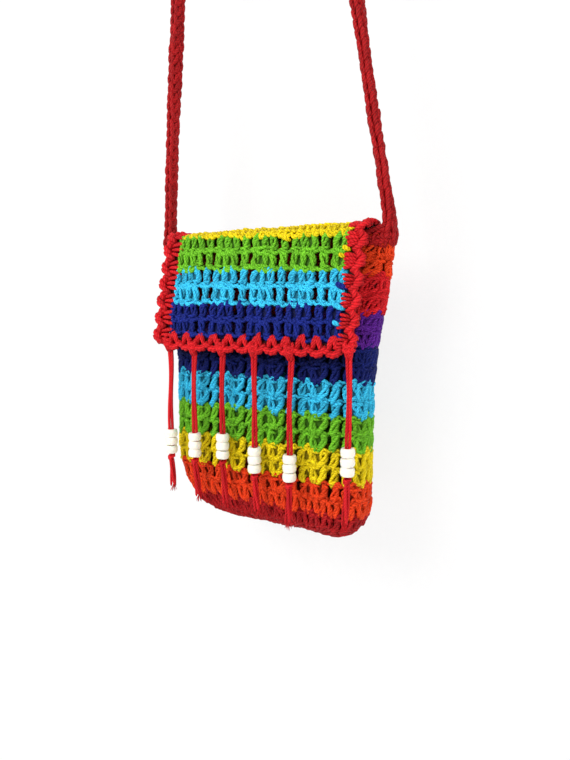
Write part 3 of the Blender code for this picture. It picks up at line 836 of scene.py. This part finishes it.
def under_flap(points):
    """Dims what hangs in the flap's shadow."""
    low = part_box("flap_edging")[0].z - SHADOW_DROP
    hidden = smooth_step((points[..., 2] - low) / SHADOW_BLUR) * (points[..., 1] < 0)
    beside = FLAP_HALF_WIDTH + SHADOW_SIDE - np.abs(points[..., 0])
    return 1 - SHADOW * hidden * smooth_step(beside / SHADOW_SIDE)


def lay_web(yarn_mesh, skin, stitches, row, holes):
    """The sheet behind one row, open where the row has holes."""
    columns = np.arange(stitches + 1)
    stitch, level = np.meshgrid(columns.astype(float), np.array([row, row + 0.5, row + 1.0]))
    grid = skin(stitch, level) - outward(skin, stitch, level) * WALL * WEB_DEPTH
    cells = np.array([[c not in holes for c in columns[:-1]]] * 2)
    if skin is flap_stitches:
        grid, cells = grid[:, ::-1], cells[:, ::-1]
    yarn_mesh.web(grid, cells, WEB_SHADE)


class Step:
    """What the bag's steps share: a seed for their unevenness, and the call that runs them."""
    seed = 0

    def execute(self, context):
        self.make(context.scene, np.random.default_rng(self.seed))
        return {"FINISHED"}


class BAG_OT_pouch(Step, bpy.types.Operator):
    """Crochet the pouch, one piece for each band of colour"""
    bl_idname = "bag.pouch"
    bl_label = "Pouch"
    seed = 11

    def make(self, scene, rng):
        stitches = list(range(STITCHES_ROUND))
        period = FRONT_STITCHES + GUSSET_STITCHES
        front = hole_stitches(POUCH_FIRST_HOLE)
        sides = (FRONT_STITCHES + GUSSET_STITCHES // 2, STITCHES_ROUND - 1 - GUSSET_STITCHES // 2)
        for band, colour in enumerate(POUCH_BANDS):
            yarn_mesh = Yarn(rng)
            painted_band_shade = PAINTED_BAND_SHADE.get(colour, 1.0)
            for row in range(band * ROWS_PER_COLOUR, (band + 1) * ROWS_PER_COLOUR):
                holes = set(front) if row >= FIRST_HOLED_ROW else set()
                if row >= POUCH_ROWS - GUSSET_HOLED_ROWS and row % 2 == 0:
                    holes.update(sides)
                filled = [s + 0.5 for s in stitches if row >= POUCH_ROWS - FULL_GUSSET_ROWS
                          and s % period >= FRONT_STITCHES and s not in holes]
                lay_rows(yarn_mesh, pouch_skin, stitches + filled, row, holes,
                         dim=lambda points: under_flap(points) * painted_band_shade)
                lay_web(yarn_mesh, pouch_skin, STITCHES_ROUND, row, holes)
            if band == 0:
                self.lay_base(yarn_mesh)
            yarn_mesh.piece(f"pouch_band_{band + 1}_{colour}", colour, "pouch")

    @staticmethod
    def lay_base(yarn_mesh):
        """The foundation chain under the base, and the sheet that closes it, both darkened with
        painted shade.
        """
        ring = pouch_skin(np.arange(STITCHES_ROUND, dtype=float), np.zeros(STITCHES_ROUND))
        low, high = ring[:, 0].min() + BASE_INSET, ring[:, 0].max() - BASE_INSET
        pitch = (high - low) / BASE_LINKS
        radius = yarn_mesh.settings.radius
        for side in (1, -1):
            paths = []
            for i in range(BASE_LINKS):
                x = low + (i + 0.5) * pitch + BASE_LINK[:, 0] * pitch
                y = side * BASE_LINK[:, 1] * radius
                z = BASE_Z + radius * (1.0 + 0.6 * BASE_LINK[:, 2])
                paths.append(np.stack((x, y, z), axis=-1))
            yarn_mesh.add(paths, radius, -UPWARDS, 0.8, yarn_mesh.rng.random(BASE_LINKS))
        inner = ring + (0.0, 0.0, radius * 2.2)
        half = STITCHES_ROUND // 2
        front = inner[:half + 1]
        back = inner[np.arange(STITCHES_ROUND, half - 1, -1) % STITCHES_ROUND]
        yarn_mesh.web(np.stack((front, back)), np.ones((1, half), bool), 0.3)


class BAG_OT_flap(Step, bpy.types.Operator):
    """Crochet the flap, from the back rim over the top and down the front"""
    bl_idname = "bag.flap"
    bl_label = "Flap"
    seed = 23

    def make(self, scene, rng):
        stitches = list(range(FRONT_STITCHES))
        starts = (0, *range(FLAP_TOP_ROWS, FLAP_ROWS + 1, ROWS_PER_COLOUR))
        for band, colour in enumerate(FLAP_BANDS):
            yarn_mesh = Yarn(rng)
            self.lay_strays(yarn_mesh, colour)
            for row in range(starts[band], starts[band + 1]):
                holes = set(hole_stitches(FLAP_FIRST_HOLE)) if row >= FLAP_TOP_ROWS else set()
                lay_rows(yarn_mesh, flap_stitches, stitches, row, holes, mirrored=row % 2)
                lay_web(yarn_mesh, flap_stitches, FRONT_STITCHES, row, holes)
            yarn_mesh.piece(f"flap_band_{band + 1}_{colour}", colour, "flap")

    @staticmethod
    def lay_strays(yarn_mesh, colour):
        """Bits of this yarn that show at the flap's edge, where it was carried past other rows."""
        radius = yarn_mesh.settings.radius
        for stray, stitch, row, size in STRAYS:
            for side in (1, -1) if stray == colour else ():
                loop = drawn((-1.0, -0.30, -1.0), (-0.4, 0.14 * side - 0.1, 1.2),
                             (0.3, 0.14 * side + 0.1, 1.4), (1.1, 0.35, -0.8), count=7)
                at = np.array((stitch, row)) + loop[:, :2] * (size, size * 0.6)
                base = flap_stitches(at[:, 0], at[:, 1])
                normals = outward(flap_stitches, at[:, 0], at[:, 1])
                yarn_mesh.strand(base + normals * (loop[:, 2:] * radius), radius, normals, 0.95,
                                 BLUNT_END)


# How each side's shells are laid. Their posts: how far they stand apart at the flap and at the
# border, in shells, how far they swing, in yarn radii, where they start, how far short of the rim
# they end, in yarn radii, and which posts there are. The border: links for each shell, how far its
# two strands part, their thickness, the depth of the notches and how high it lies
SIDE_SHELLS = {"inner": 0.36, "outer": 0.20, "swing": 0.22, "root": -0.0040, "short": 4.0,
               "links": 3, "thick": 1.36, "notch": 2.0, "lift": 0.60}
SHELLS = {
    "bottom": {"inner": 0.03, "outer": 0.31, "swing": 0.62, "root": -0.0044, "short": 2.4,
               "rays": (-1.0, 1.0), "links": 4, "wide": 0.95, "thick": 1.26, "notch": 1.5,
               "lift": 0.15},
    "left": SIDE_SHELLS | {"rays": (-1.0, 0.0, 1.0), "wide": 1.50},
    "right": SIDE_SHELLS | {"rays": (-1.0, -0.30, 0.36, 1.0), "wide": 1.20},
}


def shell_reach(reach, share, notch=1.5):
    """A shell's reach at a share of the way along the band, one shell a whole number."""
    return reach + SHELL_GROWTH - notch * SHELL_NOTCH * (1 - np.abs(np.sin(math.pi * share)) ** 0.8)


class Edge:
    """One side of the flap's edging: its inner line, its reach and its run of shells."""

    def __init__(self, part, start, pitch, shells, reach):
        self.part, self.start, self.pitch = part, start, pitch
        self.shells, self.reach = shells, reach

    def point(self, share, out):
        """Across and along the flap, at shells along the edge and a distance out from it."""
        run = self.start + np.asarray(share) * self.pitch
        if self.part == "bottom":
            return run, FLAP_END + GAP + out
        side = -1 if self.part == "left" else 1
        return side * (FLAP_HALF_WIDTH + GAP + out), run


def edges():
    """The edging's left side, bottom and right side, with the shells that the solids have."""
    last = FLAP_END + GAP + BOTTOM_SHELL_REACH / 2
    count = int(last // SHELL_PITCH)
    start = last - count * SHELL_PITCH
    side = FLAP_HALF_WIDTH + GAP
    bottom = round(2 * side / SHELL_PITCH) + 1
    return (Edge("left", start, SHELL_PITCH, count, LEFT_SHELL_REACH - LEFT_SHELL_CUT),
            Edge("bottom", -side, 2 * side / bottom, bottom, BOTTOM_SHELL_REACH),
            Edge("right", start, SHELL_PITCH, count, RIGHT_SHELL_REACH))


def lift(across, arc, height):
    """Points over the flap's outer face, with the face's normals."""
    base = flap_skin(across, arc)
    up = flap_skin(across, arc + FLAP_STEP) - flap_skin(across, arc - FLAP_STEP)
    normal = unit(np.cross(up, np.broadcast_to((1.0, 0.0, 0.0), up.shape)))
    return base + normal * np.asarray(height)[..., None], normal


class BAG_OT_edging(Step, bpy.types.Operator):
    """Crochet the red shells round the flap, and hitch the tassels' loops to them"""
    bl_idname = "bag.edging"
    bl_label = "Shell edging"
    seed = 37

    def make(self, scene, rng):
        yarn_mesh = Yarn(rng, sides=6)
        for edge in edges():
            self.lay_shells(yarn_mesh, edge)
            self.lay_border(yarn_mesh, edge)
        self.lay_backing(yarn_mesh)
        for number in range(1, len(TASSELS) + 1):
            self.lay_hitch(yarn_mesh, np.array(tassel_start(number)))
        yarn_mesh.piece("flap_shells", "red", "flap_edging")

    @staticmethod
    def strand(yarn_mesh, edge, share, out, height, radius, shade):
        """One strand along the edging, given by its place along the edge, out from it and up."""
        across, arc = edge.point(np.clip(share, -0.15, edge.shells + 0.15), out)
        points, normals = lift(across, arc, height)
        yarn_mesh.strand(points, radius * (1 + 0.06 * yarn_mesh.rng.standard_normal()), normals,
                         shade, BLUNT_END)

    def lay_shells(self, yarn_mesh, edge):
        """Each shell's posts: they start apart in the flap and are drawn together at the border."""
        rng, size = yarn_mesh.rng, yarn_mesh.settings.radius
        steps = STEPS_OF_SEVEN
        look = SHELLS[edge.part]
        spread = look["inner"] + (look["outer"] - look["inner"]) * steps
        reach = edge.reach - size * look["short"]
        for shell in range(edge.shells):
            middle = shell + 0.5 + 0.03 * rng.standard_normal()
            full = edge.part != "right" or shell < edge.shells // 2
            radius = size * (1.04 if full else 0.94)
            for ray in look["rays"]:
                into = look["root"] + 0.0009 * rng.standard_normal()
                for phase in (0.6, 0.6 + math.pi) if full else (0.6,):
                    turn = steps * 2.6 + phase
                    share = middle + ray * spread
                    share = share + np.sin(turn) * radius * look["swing"] / edge.pitch
                    height = radius * (SHELL_PROUD + np.cos(turn) * 0.35)
                    # Painted shade: a post is lighter where it rises out of the cloth and darker
                    # where it winds under.
                    self.strand(yarn_mesh, edge, share, into + (reach - into) * steps, height,
                                radius, np.clip(0.86 + 0.20 * np.cos(turn), 0.3, 1.0))

    def lay_border(self, yarn_mesh, edge):
        """The scalloped rim: a chunky chain whose links bulge outwards over each shell."""
        look = SHELLS[edge.part]
        links, wide = look["links"], look["wide"]
        radius = yarn_mesh.settings.radius * look["thick"]
        steps = STEPS_OF_SEVEN
        bulge = np.sin(steps * math.pi)
        for i in range(edge.shells * links):
            for side, lower, darker in ((1, 0.0, 0.0), (-1, 0.8, 0.10)):
                place = (i + 0.5) / links + 0.02 * yarn_mesh.rng.standard_normal()
                share = np.clip(place + (steps * 1.6 - 0.8) / links, 0.0, edge.shells)
                rim = shell_reach(edge.reach, share, look["notch"]) - radius * 0.95
                swing = side * np.cos(steps * math.pi) * wide - wide
                height = look["lift"] - 0.9 + 1.25 * bulge - lower
                # Painted shade and highlight: each link is lighter on its bulge than at its ends,
                # and its lower strand darker still.
                self.strand(yarn_mesh, edge, share, rim + (swing + bulge * 0.35) * radius,
                            height * radius, radius, 0.56 + 0.42 * bulge - darker)

    @staticmethod
    def lay_backing(yarn_mesh):
        """A dark sheet behind the shells: painted shade, so the gaps between their posts look
        shadowed.
        """
        for edge in edges():
            share = np.linspace(0.0, edge.shells, edge.shells * 4 + 1)
            lines = []
            for out in (np.zeros_like(share), shell_reach(edge.reach, share) - 0.0022):
                across, arc = edge.point(share, out)
                lines.append(lift(across, np.minimum(arc, FLAP_END + GAP + BOTTOM_SHELL_REACH),
                                  np.full(share.shape, -WALL * 0.6))[0])
            grid = np.stack(lines if edge.part == "left" else lines[::-1])
            yarn_mesh.web(grid, np.ones((1, len(share) - 1), bool), 0.0)

    @staticmethod
    def lay_hitch(yarn_mesh, start):
        """The loop that holds the tassel to the edging's lower rim."""
        radius = yarn_mesh.settings.tassel_radius
        for side in (1, -1):
            for leg, shade in ((HITCH_OUTER, 0.95), (HITCH_INNER, 1.0)):
                yarn_mesh.strand(start + leg * (side, 1, 1) * radius, radius * 1.05, FORWARDS,
                                 shade, BLUNT_END)
        for level, wide in ((1.6, 2.9), (4.4, 2.7)):
            loop = drawn((-wide, 0.0, level), (-0.75 * wide, -2.6, level - 0.4),
                         (0.0, -3.8, level - 0.7), (0.75 * wide, -2.6, level - 0.2),
                         (wide, 0.0, level + 0.3), count=8)
            yarn_mesh.strand(start + loop * radius, radius * 1.1, UPWARDS, 1.0, BLUNT_END)


class BAG_OT_strap(Step, bpy.types.Operator):
    """Crochet the long strap, two stitches wide, and its fans at the gussets"""
    bl_idname = "bag.strap"
    bl_label = "Strap"
    seed = 41

    def make(self, scene, rng):
        yarn_mesh = Yarn(rng)
        rows = int(STRAP_LENGTHS[-1] / STRAP_ROW)
        pitch = STRAP_LENGTHS[-1] / rows
        for template, columns in ((STRAP_OUTER, (1, -1)), (STRAP_INNER, (1, -1)),
                                  (STRAP_RUNG, (1,)), (STRAP_CORE, (1,))):
            for face in (1, -1):
                for column in columns:
                    row = np.arange(rows, dtype=float)[:, None] + (0.5 if column < 0 else 0.0)
                    u = column * template[:, 0] * (1 + 0.06 * rng.standard_normal((rows, 1)))
                    v = template[:, 1] + 0.06 * rng.standard_normal((rows, 1))
                    w = face * template[:, 2] * (1 + 0.1 * rng.standard_normal((rows, 1)))
                    length = np.clip((row + v) * pitch, 0.0, STRAP_LENGTHS[-1])
                    self.lay(yarn_mesh, length, u, w)
        yarn_mesh.piece("strap_stitches", "dark_red", "strap")
        fans = Yarn(rng, sides=6)
        middle = FRONT_STITCHES + GUSSET_STITCHES / 2
        self.lay_fan(fans, middle, STRAP_LENGTHS[-1] - FAN_RISE)
        self.lay_fan(fans, STITCHES_ROUND - GUSSET_STITCHES / 2, FAN_RISE)
        fans.piece("strap_fans", "dark_red", "strap")

    @staticmethod
    def lay(yarn_mesh, length, u, w):
        """Strands at a length along the strap, across and out of it in shares of its half sizes."""
        radius = yarn_mesh.settings.radius * STRAP_YARN
        centre, thin = strap_frame(length)
        near = np.minimum(length, STRAP_LENGTHS[-1] - length)
        foot = 1 - smooth_step(near / STRAP_FOOT_RISE)
        twist = 0.22 * np.sin(length * 31.0) + 0.10 * np.sin(length * 83.0)
        half_wide = (STRAP_WIDTH / 2 - radius * 0.75) * (1 + 0.5 * foot)
        half_thick = STRAP_THICK / 2 - radius * 0.35
        across, out = u * half_wide, w * half_thick
        y = across * np.cos(twist) - out * np.sin(twist)
        proud = across * np.sin(twist) + out * np.cos(twist)
        points = centre + thin * proud[..., None]
        points[..., 1] += y
        normals = thin * np.cos(twist)[..., None]
        normals[..., 1] -= np.sin(twist)
        normals = normals * np.sign(np.mean(w, axis=1) + 1e-6)[:, None, None]
        # Painted shade: strands near the strap's middle are darker than those at its edges and
        # faces.
        shade = np.clip(0.45 + 0.60 * np.hypot(u * 0.8, w * 0.9), 0.3, 1.0)
        yarn_mesh.add(points, radius, normals, shade, yarn_mesh.rng.random(len(length)))

    @staticmethod
    def lay_fan(yarn_mesh, middle, length):
        """Where the strap joins a gusset, its yarn fans down over the gusset's top row."""
        rng, radius = yarn_mesh.rng, yarn_mesh.settings.radius * 1.1
        top = strap_frame(np.array([length]))[0]
        rays = np.linspace(-1.0, 1.0, FAN_RAYS)

        def crest(rim):
            """The fan's upper line, on the strap."""
            spread = np.copysign(FAN_SPREAD * np.abs(rays), rim[:, 1])
            return top + np.stack((0 * rays, spread, -FAN_DROOP * np.abs(rays)), axis=-1)

        rim, rims, lows = (pouch_skin(middle + rays * wide, np.full(FAN_RAYS, POUCH_ROWS + rise))
                           for wide, rise in ((2.7, 0.0), (2.7, 0.15), (2.8, -0.32)))
        # A sheet in painted shade behind the fan's rays.
        yarn_mesh.web(np.stack((rim, (rim + crest(rim)) * 0.5, crest(rim))),
                      np.ones((2, FAN_RAYS - 1), bool), 0.3)
        for rim, low, high in zip(rims, lows, crest(rims)):
            away = np.array((math.copysign(1.0, rim[0]), 0.0, 0.0))
            for side in (1, -1):
                bend = np.array((0.0, 0.0007 * side, 0.0))
                line = drawn(high + away * 0.0006, (high + rim) * 0.5 + away * 0.0022 + bend * 1.6,
                             rim + away * 0.0016 - bend, low + away * 0.0010 + bend, count=9)
                yarn_mesh.strand(line, radius, away, 0.92, BLUNT_END)
        for ray in np.linspace(-1.0, 1.0, 7):
            steps = STEPS_OF_SEVEN
            stitch = middle + ray * (0.9 + 1.5 * steps) + 0.08 * rng.standard_normal()
            level = POUCH_ROWS - (0.52 - 0.20 * abs(ray)) * steps + 0.02
            normals = outward(pouch_skin, stitch, level)
            for side, share in ((1, 1.0), (-1, 0.7)):
                base = pouch_skin(stitch + side * np.cos(steps * 5.0 + ray) * 0.16, level)
                yarn_mesh.strand(base + normals * (radius * FAN_PROUD * share)[:, None], radius,
                                 normals, 0.9)
        steps = np.linspace(-0.15, 1.15, 6)
        arch = np.sin(steps * math.pi)
        for level in (POUCH_ROWS + 0.02, POUCH_ROWS - 0.16):
            for i in range(5):
                stitch = middle + (i - 2.5 + steps) * 0.9
                base = pouch_skin(stitch, level + 0.07 * arch)
                normals = outward(pouch_skin, stitch, level + 0.07 * arch)
                yarn_mesh.strand(base + normals * (radius * (0.2 + 0.8 * arch))[:, None], radius,
                                 normals, 0.9)


def tassel_start(number):
    """Where a tassel leaves the edging: the top of its solid."""
    low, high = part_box(f"tassel_cord_{number}")
    return Vector(((low.x + high.x) / 2, (low.y + high.y) / 2, high.z))


class BAG_OT_tassels(Step, bpy.types.Operator):
    """Hang the six tassels: two strands, a knot under the beads and a frayed tail"""
    bl_idname = "bag.tassels"
    bl_label = "Tassels"
    seed = 53

    def make(self, scene, rng):
        for number, (bead_top, end, drift) in enumerate(TASSELS, start=1):
            start = tassel_start(number)
            knot_top = BASE_Z + bead_top - 3 * BEAD_HEIGHT - 4 * GAP
            tail = BASE_Z + end
            heights = np.concatenate((np.linspace(start.z, knot_top, 18),
                                      np.linspace(knot_top, tail, 12)[1:]))
            path = np.zeros((len(heights), 3))
            below = np.clip((knot_top - heights) / (knot_top - tail), 0.0, 1.0)
            above = np.clip((start.z - heights) / (start.z - knot_top), 0.0, 1.0)
            phase = rng.random() * 6.0
            sway = 0.0006 * np.sin(above * 7.0 + phase) * (1 - above)
            path[:, 0] = start.x + drift * below ** 1.2 + sway
            path[:, 1] = start.y + 0.0004 * np.sin(above * 5.0 + phase) * (1 - above)
            path[:, 2] = heights
            yarn_mesh = Yarn(rng, sides=6)
            self.lay_strands(yarn_mesh, path, knot_top)
            self.lay_knot(yarn_mesh, path, knot_top)
            obj = yarn_mesh.piece(f"tassel_yarn_{number}", "red", f"tassel_cord_{number}")

    @staticmethod
    def lay_strands(yarn_mesh, path, knot_top):
        """Two strands beside each other down to the knot, and three frayed ones below it."""
        rng, radius = yarn_mesh.rng, yarn_mesh.settings.tassel_radius
        turn = rng.random() * 0.5 - 0.2
        line = on_route(path, np.arange(len(path)), np.linspace(0, len(path) - 1, TASSEL_POINTS))
        parting = knot_top - KNOT_DEPTH / 2 + GAP
        above = line[line[:, 2] >= parting]
        for side in (1, -1):
            angle = turn + np.linspace(0.1, 0.9, len(above)) + (math.pi if side < 0 else 0)
            offset = around(angle, radius * 0.78, 0 * angle)
            offset += 0.0002 * np.sin(np.linspace(0, 9, len(above)) + side)[:, None]
            yarn_mesh.strand(above + offset, radius, FORWARDS, 0.95)
        below = line[line[:, 2] <= parting]
        share = np.linspace(0, 1, len(below))
        thin = radius * (0.98 - 0.25 * share ** 3)
        spread = 0.0010 + 0.0009 * share
        for i in range(3):
            angle = 2.1 * i + turn + share * 1.6
            cut = len(below) - i
            yarn_mesh.strand((below + around(angle, spread, 0 * angle))[:cut], thin[:cut], FORWARDS,
                             0.9, 0.5)
        steps = np.linspace(0, 1, 5)
        for _ in range(HAIRS):
            angle = rng.random() * 2 * math.pi
            out = (0.0010 + 0.0020 * rng.random()) * steps ** 1.3
            drop = 0.004 - (0.0045 + 0.002 * rng.random()) * steps
            yarn_mesh.strand(below[-1] + around(angle, out, drop), HAIR_RADIUS, FORWARDS, 1.0)

    @staticmethod
    def lay_knot(yarn_mesh, path, knot_top):
        """An overhand knot: the yarn goes twice round itself."""
        centre = path[np.argmin(np.abs(path[:, 2] - (knot_top - KNOT_DEPTH / 2)))]
        turns = np.linspace(0, 2 * math.pi * KNOT_TURNS, 20)
        wide, deep = KNOT_HALF_WIDTHS
        drop = -turns / turns[-1] * 0.0024 + 0.0011 + 0.0006 * np.sin(turns + 0.7)
        ring = np.stack((np.cos(turns) * wide, np.sin(turns) * deep, drop), axis=-1)
        yarn_mesh.strand(np.array((centre[0], centre[1], knot_top - 0.0022)) + ring,
                         yarn_mesh.settings.tassel_radius * 0.95, UPWARDS, 0.95)


class BAG_OT_beads(Step, bpy.types.Operator):
    """Turn the eighteen cream barrel beads"""
    bl_idname = "bag.beads"
    bl_label = "Beads"
    seed = 67

    def make(self, scene, rng):
        material = bead_material(tuple(scene.bag_colours.bead))
        for number in range(1, len(TASSELS) + 1):
            for word in BEAD_PLACES:
                node = f"bead_{number}_{word}"
                low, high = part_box(node)
                obj = self.barrel(f"barrel_{number}_{word}", (low + high) / 2, high - low, rng)
                obj.data.materials.clear()
                obj.data.materials.append(material)
                settle(obj, "bead_cream", node)

    @staticmethod
    def barrel(name, centre, size, rng):
        """A cylinder whose rims are drawn in, whose ends are bored and whose edges are rounded."""
        blank = size.x * BEAD_RIM_SHARE
        bpy.ops.object.select_all(action="DESELECT")
        bpy.ops.mesh.primitive_cylinder_add(vertices=BEAD_SIDES, radius=blank, depth=size.z,
                                            end_fill_type="NGON", location=centre)
        obj = bpy.context.object
        obj.name = name
        obj.data.name = name
        edit_chosen(obj, "FACE", lambda face: abs(face.normal.z) > 0.5)
        bpy.ops.mesh.inset(thickness=blank - BEAD_BORE, depth=0.0)
        bpy.ops.mesh.extrude_region_move(TRANSFORM_OT_translate={"value": (0.0, 0.0, 0.0)})
        bpy.ops.transform.resize(value=(1.0, 1.0, 0.25), center_override=centre)
        mesh = bmesh.from_edit_mesh(obj.data)
        upright = [e for e in mesh.edges if abs((e.verts[0].co - e.verts[1].co).z) > size.z * 0.9]
        bmesh.ops.subdivide_edges(mesh, edges=upright, cuts=3)
        for vert in mesh.verts:
            share = abs(vert.co.z) / (size.z / 2)
            radius = math.hypot(vert.co.x, vert.co.y)
            if radius > size.x * 0.3:
                grow = (size.x / 2 * (1 - 0.15 * share ** 3.0)) / radius
                vert.co.x *= grow
                vert.co.y *= grow
        bmesh.update_edit_mesh(obj.data)
        bpy.ops.mesh.select_all(action="SELECT")
        bpy.ops.mesh.normals_make_consistent(inside=False)
        bpy.ops.object.mode_set(mode="OBJECT")
        obj.rotation_euler = (0.05 * rng.standard_normal(), 0.06 * rng.standard_normal(),
                              rng.random() * math.pi)
        bpy.ops.object.transform_apply(location=True, rotation=True, scale=True)
        bevel = obj.modifiers.new("Rims", "BEVEL")
        bevel.width = BEAD_ROUNDING
        bevel.segments = 3
        bevel.limit_method = "ANGLE"
        bevel.angle_limit = math.radians(35)
        bpy.ops.object.modifier_apply(modifier="Rims")
        bpy.ops.object.shade_smooth_by_angle(angle=math.radians(50))
        return obj


class BAG_OT_stage(Step, bpy.types.Operator):
    """Set the pale floor and wall, the lamps and the camera"""
    bl_idname = "bag.stage"
    bl_label = "Stage"

    def make(self, scene, rng):
        stage = scene.bag_stage
        scene.view_settings.view_transform = "Standard"
        self.surroundings(scene, stage.sky)
        self.backdrop()
        self.lamp("key_lamp", (-0.55, -1.25, 0.15), stage.key)
        self.lamp("fill_lamp", (1.1, -0.9, -0.35), stage.fill)
        camera = bpy.data.objects.new("camera", bpy.data.cameras.new("camera"))
        camera.data.lens = stage.lens
        camera.data.clip_start = 0.02
        view = Matrix.Translation(stage.camera_place)
        for turn, axis in ((stage.turn, "Z"), (math.pi / 2 - stage.dip, "X"), (stage.roll, "Z")):
            view = view @ Matrix.Rotation(turn, 4, axis)
        camera.matrix_world = view
        scene.collection.objects.link(camera)
        scene.camera = camera

    @staticmethod
    def lamp(name, place, power):
        """A round lamp aimed at the pouch's middle."""
        light = bpy.data.lights.new(name, "AREA")
        light.shape = "DISK"
        light.size = LAMP_SIZE
        light.energy = power
        obj = bpy.data.objects.new(name, light)
        obj.location = place
        aim = Vector((0.0, 0.0, (RIM_Z + BASE_Z) / 2)) - obj.location
        obj.rotation_euler = aim.to_track_quat("-Z", "Y").to_euler()
        bpy.context.scene.collection.objects.link(obj)

    @staticmethod
    def surroundings(scene, strength):
        """An even pale light, seen as white by the camera."""
        finish = Finish(bpy.data.worlds.new("surroundings"))
        lit, seen = (finish.node("ShaderNodeBackground", {"Color": WHITE, "Strength": level})
                     for level in (strength, 1.0))
        finish.plug(finish.nodes["World Output"].inputs["Surface"],
                    finish.blend(finish.looked_at(), lit, seen))
        scene.world = finish.owner

    @staticmethod
    def backdrop():
        """A floor and a wall in one sheet with a wide cove. The wall shows on its front only."""
        bpy.ops.object.select_all(action="DESELECT")
        wall_y, floor_z, cove, half = 0.055, -1.15, 0.25, 9.0
        depth = wall_y - cove + half
        bpy.ops.mesh.primitive_plane_add(size=2 * half, location=(0.0, 0.0, floor_z))
        obj = bpy.context.object
        obj.name = obj.data.name = "backdrop"
        obj.scale.y = depth / (2 * half)
        obj.location.y = wall_y - cove - depth / 2
        bpy.ops.object.transform_apply(location=True, rotation=False, scale=True)
        edit_chosen(obj, "EDGE", lambda edge: all(vert.co.y > -cove for vert in edge.verts))
        bpy.ops.mesh.spin(steps=12, angle=math.pi / 2, center=(0.0, wall_y - cove, floor_z + cove),
                          axis=(-1.0, 0.0, 0.0))
        bpy.ops.mesh.extrude_region_move(TRANSFORM_OT_translate={"value": (0.0, 0.0, half)})
        bpy.ops.mesh.select_all(action="SELECT")
        bpy.ops.mesh.normals_make_consistent(inside=False)
        if next(iter(bmesh.from_edit_mesh(obj.data).faces)).normal.z < 0:
            bpy.ops.mesh.flip_normals()
        bpy.ops.object.mode_set(mode="OBJECT")
        obj.data.shade_smooth()
        obj.data.materials.append(wall_material())


class BAG_PT_panel(bpy.types.Panel):
    """The bag's steps, in the order in which they are made"""
    bl_label = "Crocheted bag"
    bl_idname = "BAG_PT_panel"
    bl_space_type = "VIEW_3D"
    bl_region_type = "UI"
    bl_category = "Bag"

    def draw(self, context):
        for group in (context.scene.bag_yarn, context.scene.bag_colours, context.scene.bag_stage):
            box = self.layout.box()
            for key in group.bl_rna.properties.keys():
                if key not in ("rna_type", "name"):
                    box.prop(group, key)
        for step in STEPS:
            self.layout.operator(step.bl_idname)


STEPS = (BAG_OT_stage, BAG_OT_beads, BAG_OT_tassels, BAG_OT_pouch, BAG_OT_flap, BAG_OT_edging,
         BAG_OT_strap)
GROUPS = {"bag_yarn": BagYarnSettings, "bag_colours": BagColourSettings,
          "bag_stage": BagStageSettings}


def register():
    for cls in (*GROUPS.values(), *STEPS, BAG_PT_panel):
        bpy.utils.register_class(cls)
    for key, group in GROUPS.items():
        setattr(bpy.types.Scene, key, bpy.props.PointerProperty(type=group))


def unregister():
    for key in GROUPS:
        delattr(bpy.types.Scene, key)
    for cls in (BAG_PT_panel, *reversed(STEPS), *GROUPS.values()):
        bpy.utils.unregister_class(cls)


def main():
    register()
    for step in STEPS:
        group, name = step.bl_idname.split(".")
        getattr(getattr(bpy.ops, group), name)()


if __name__ == "__main__":
    main()
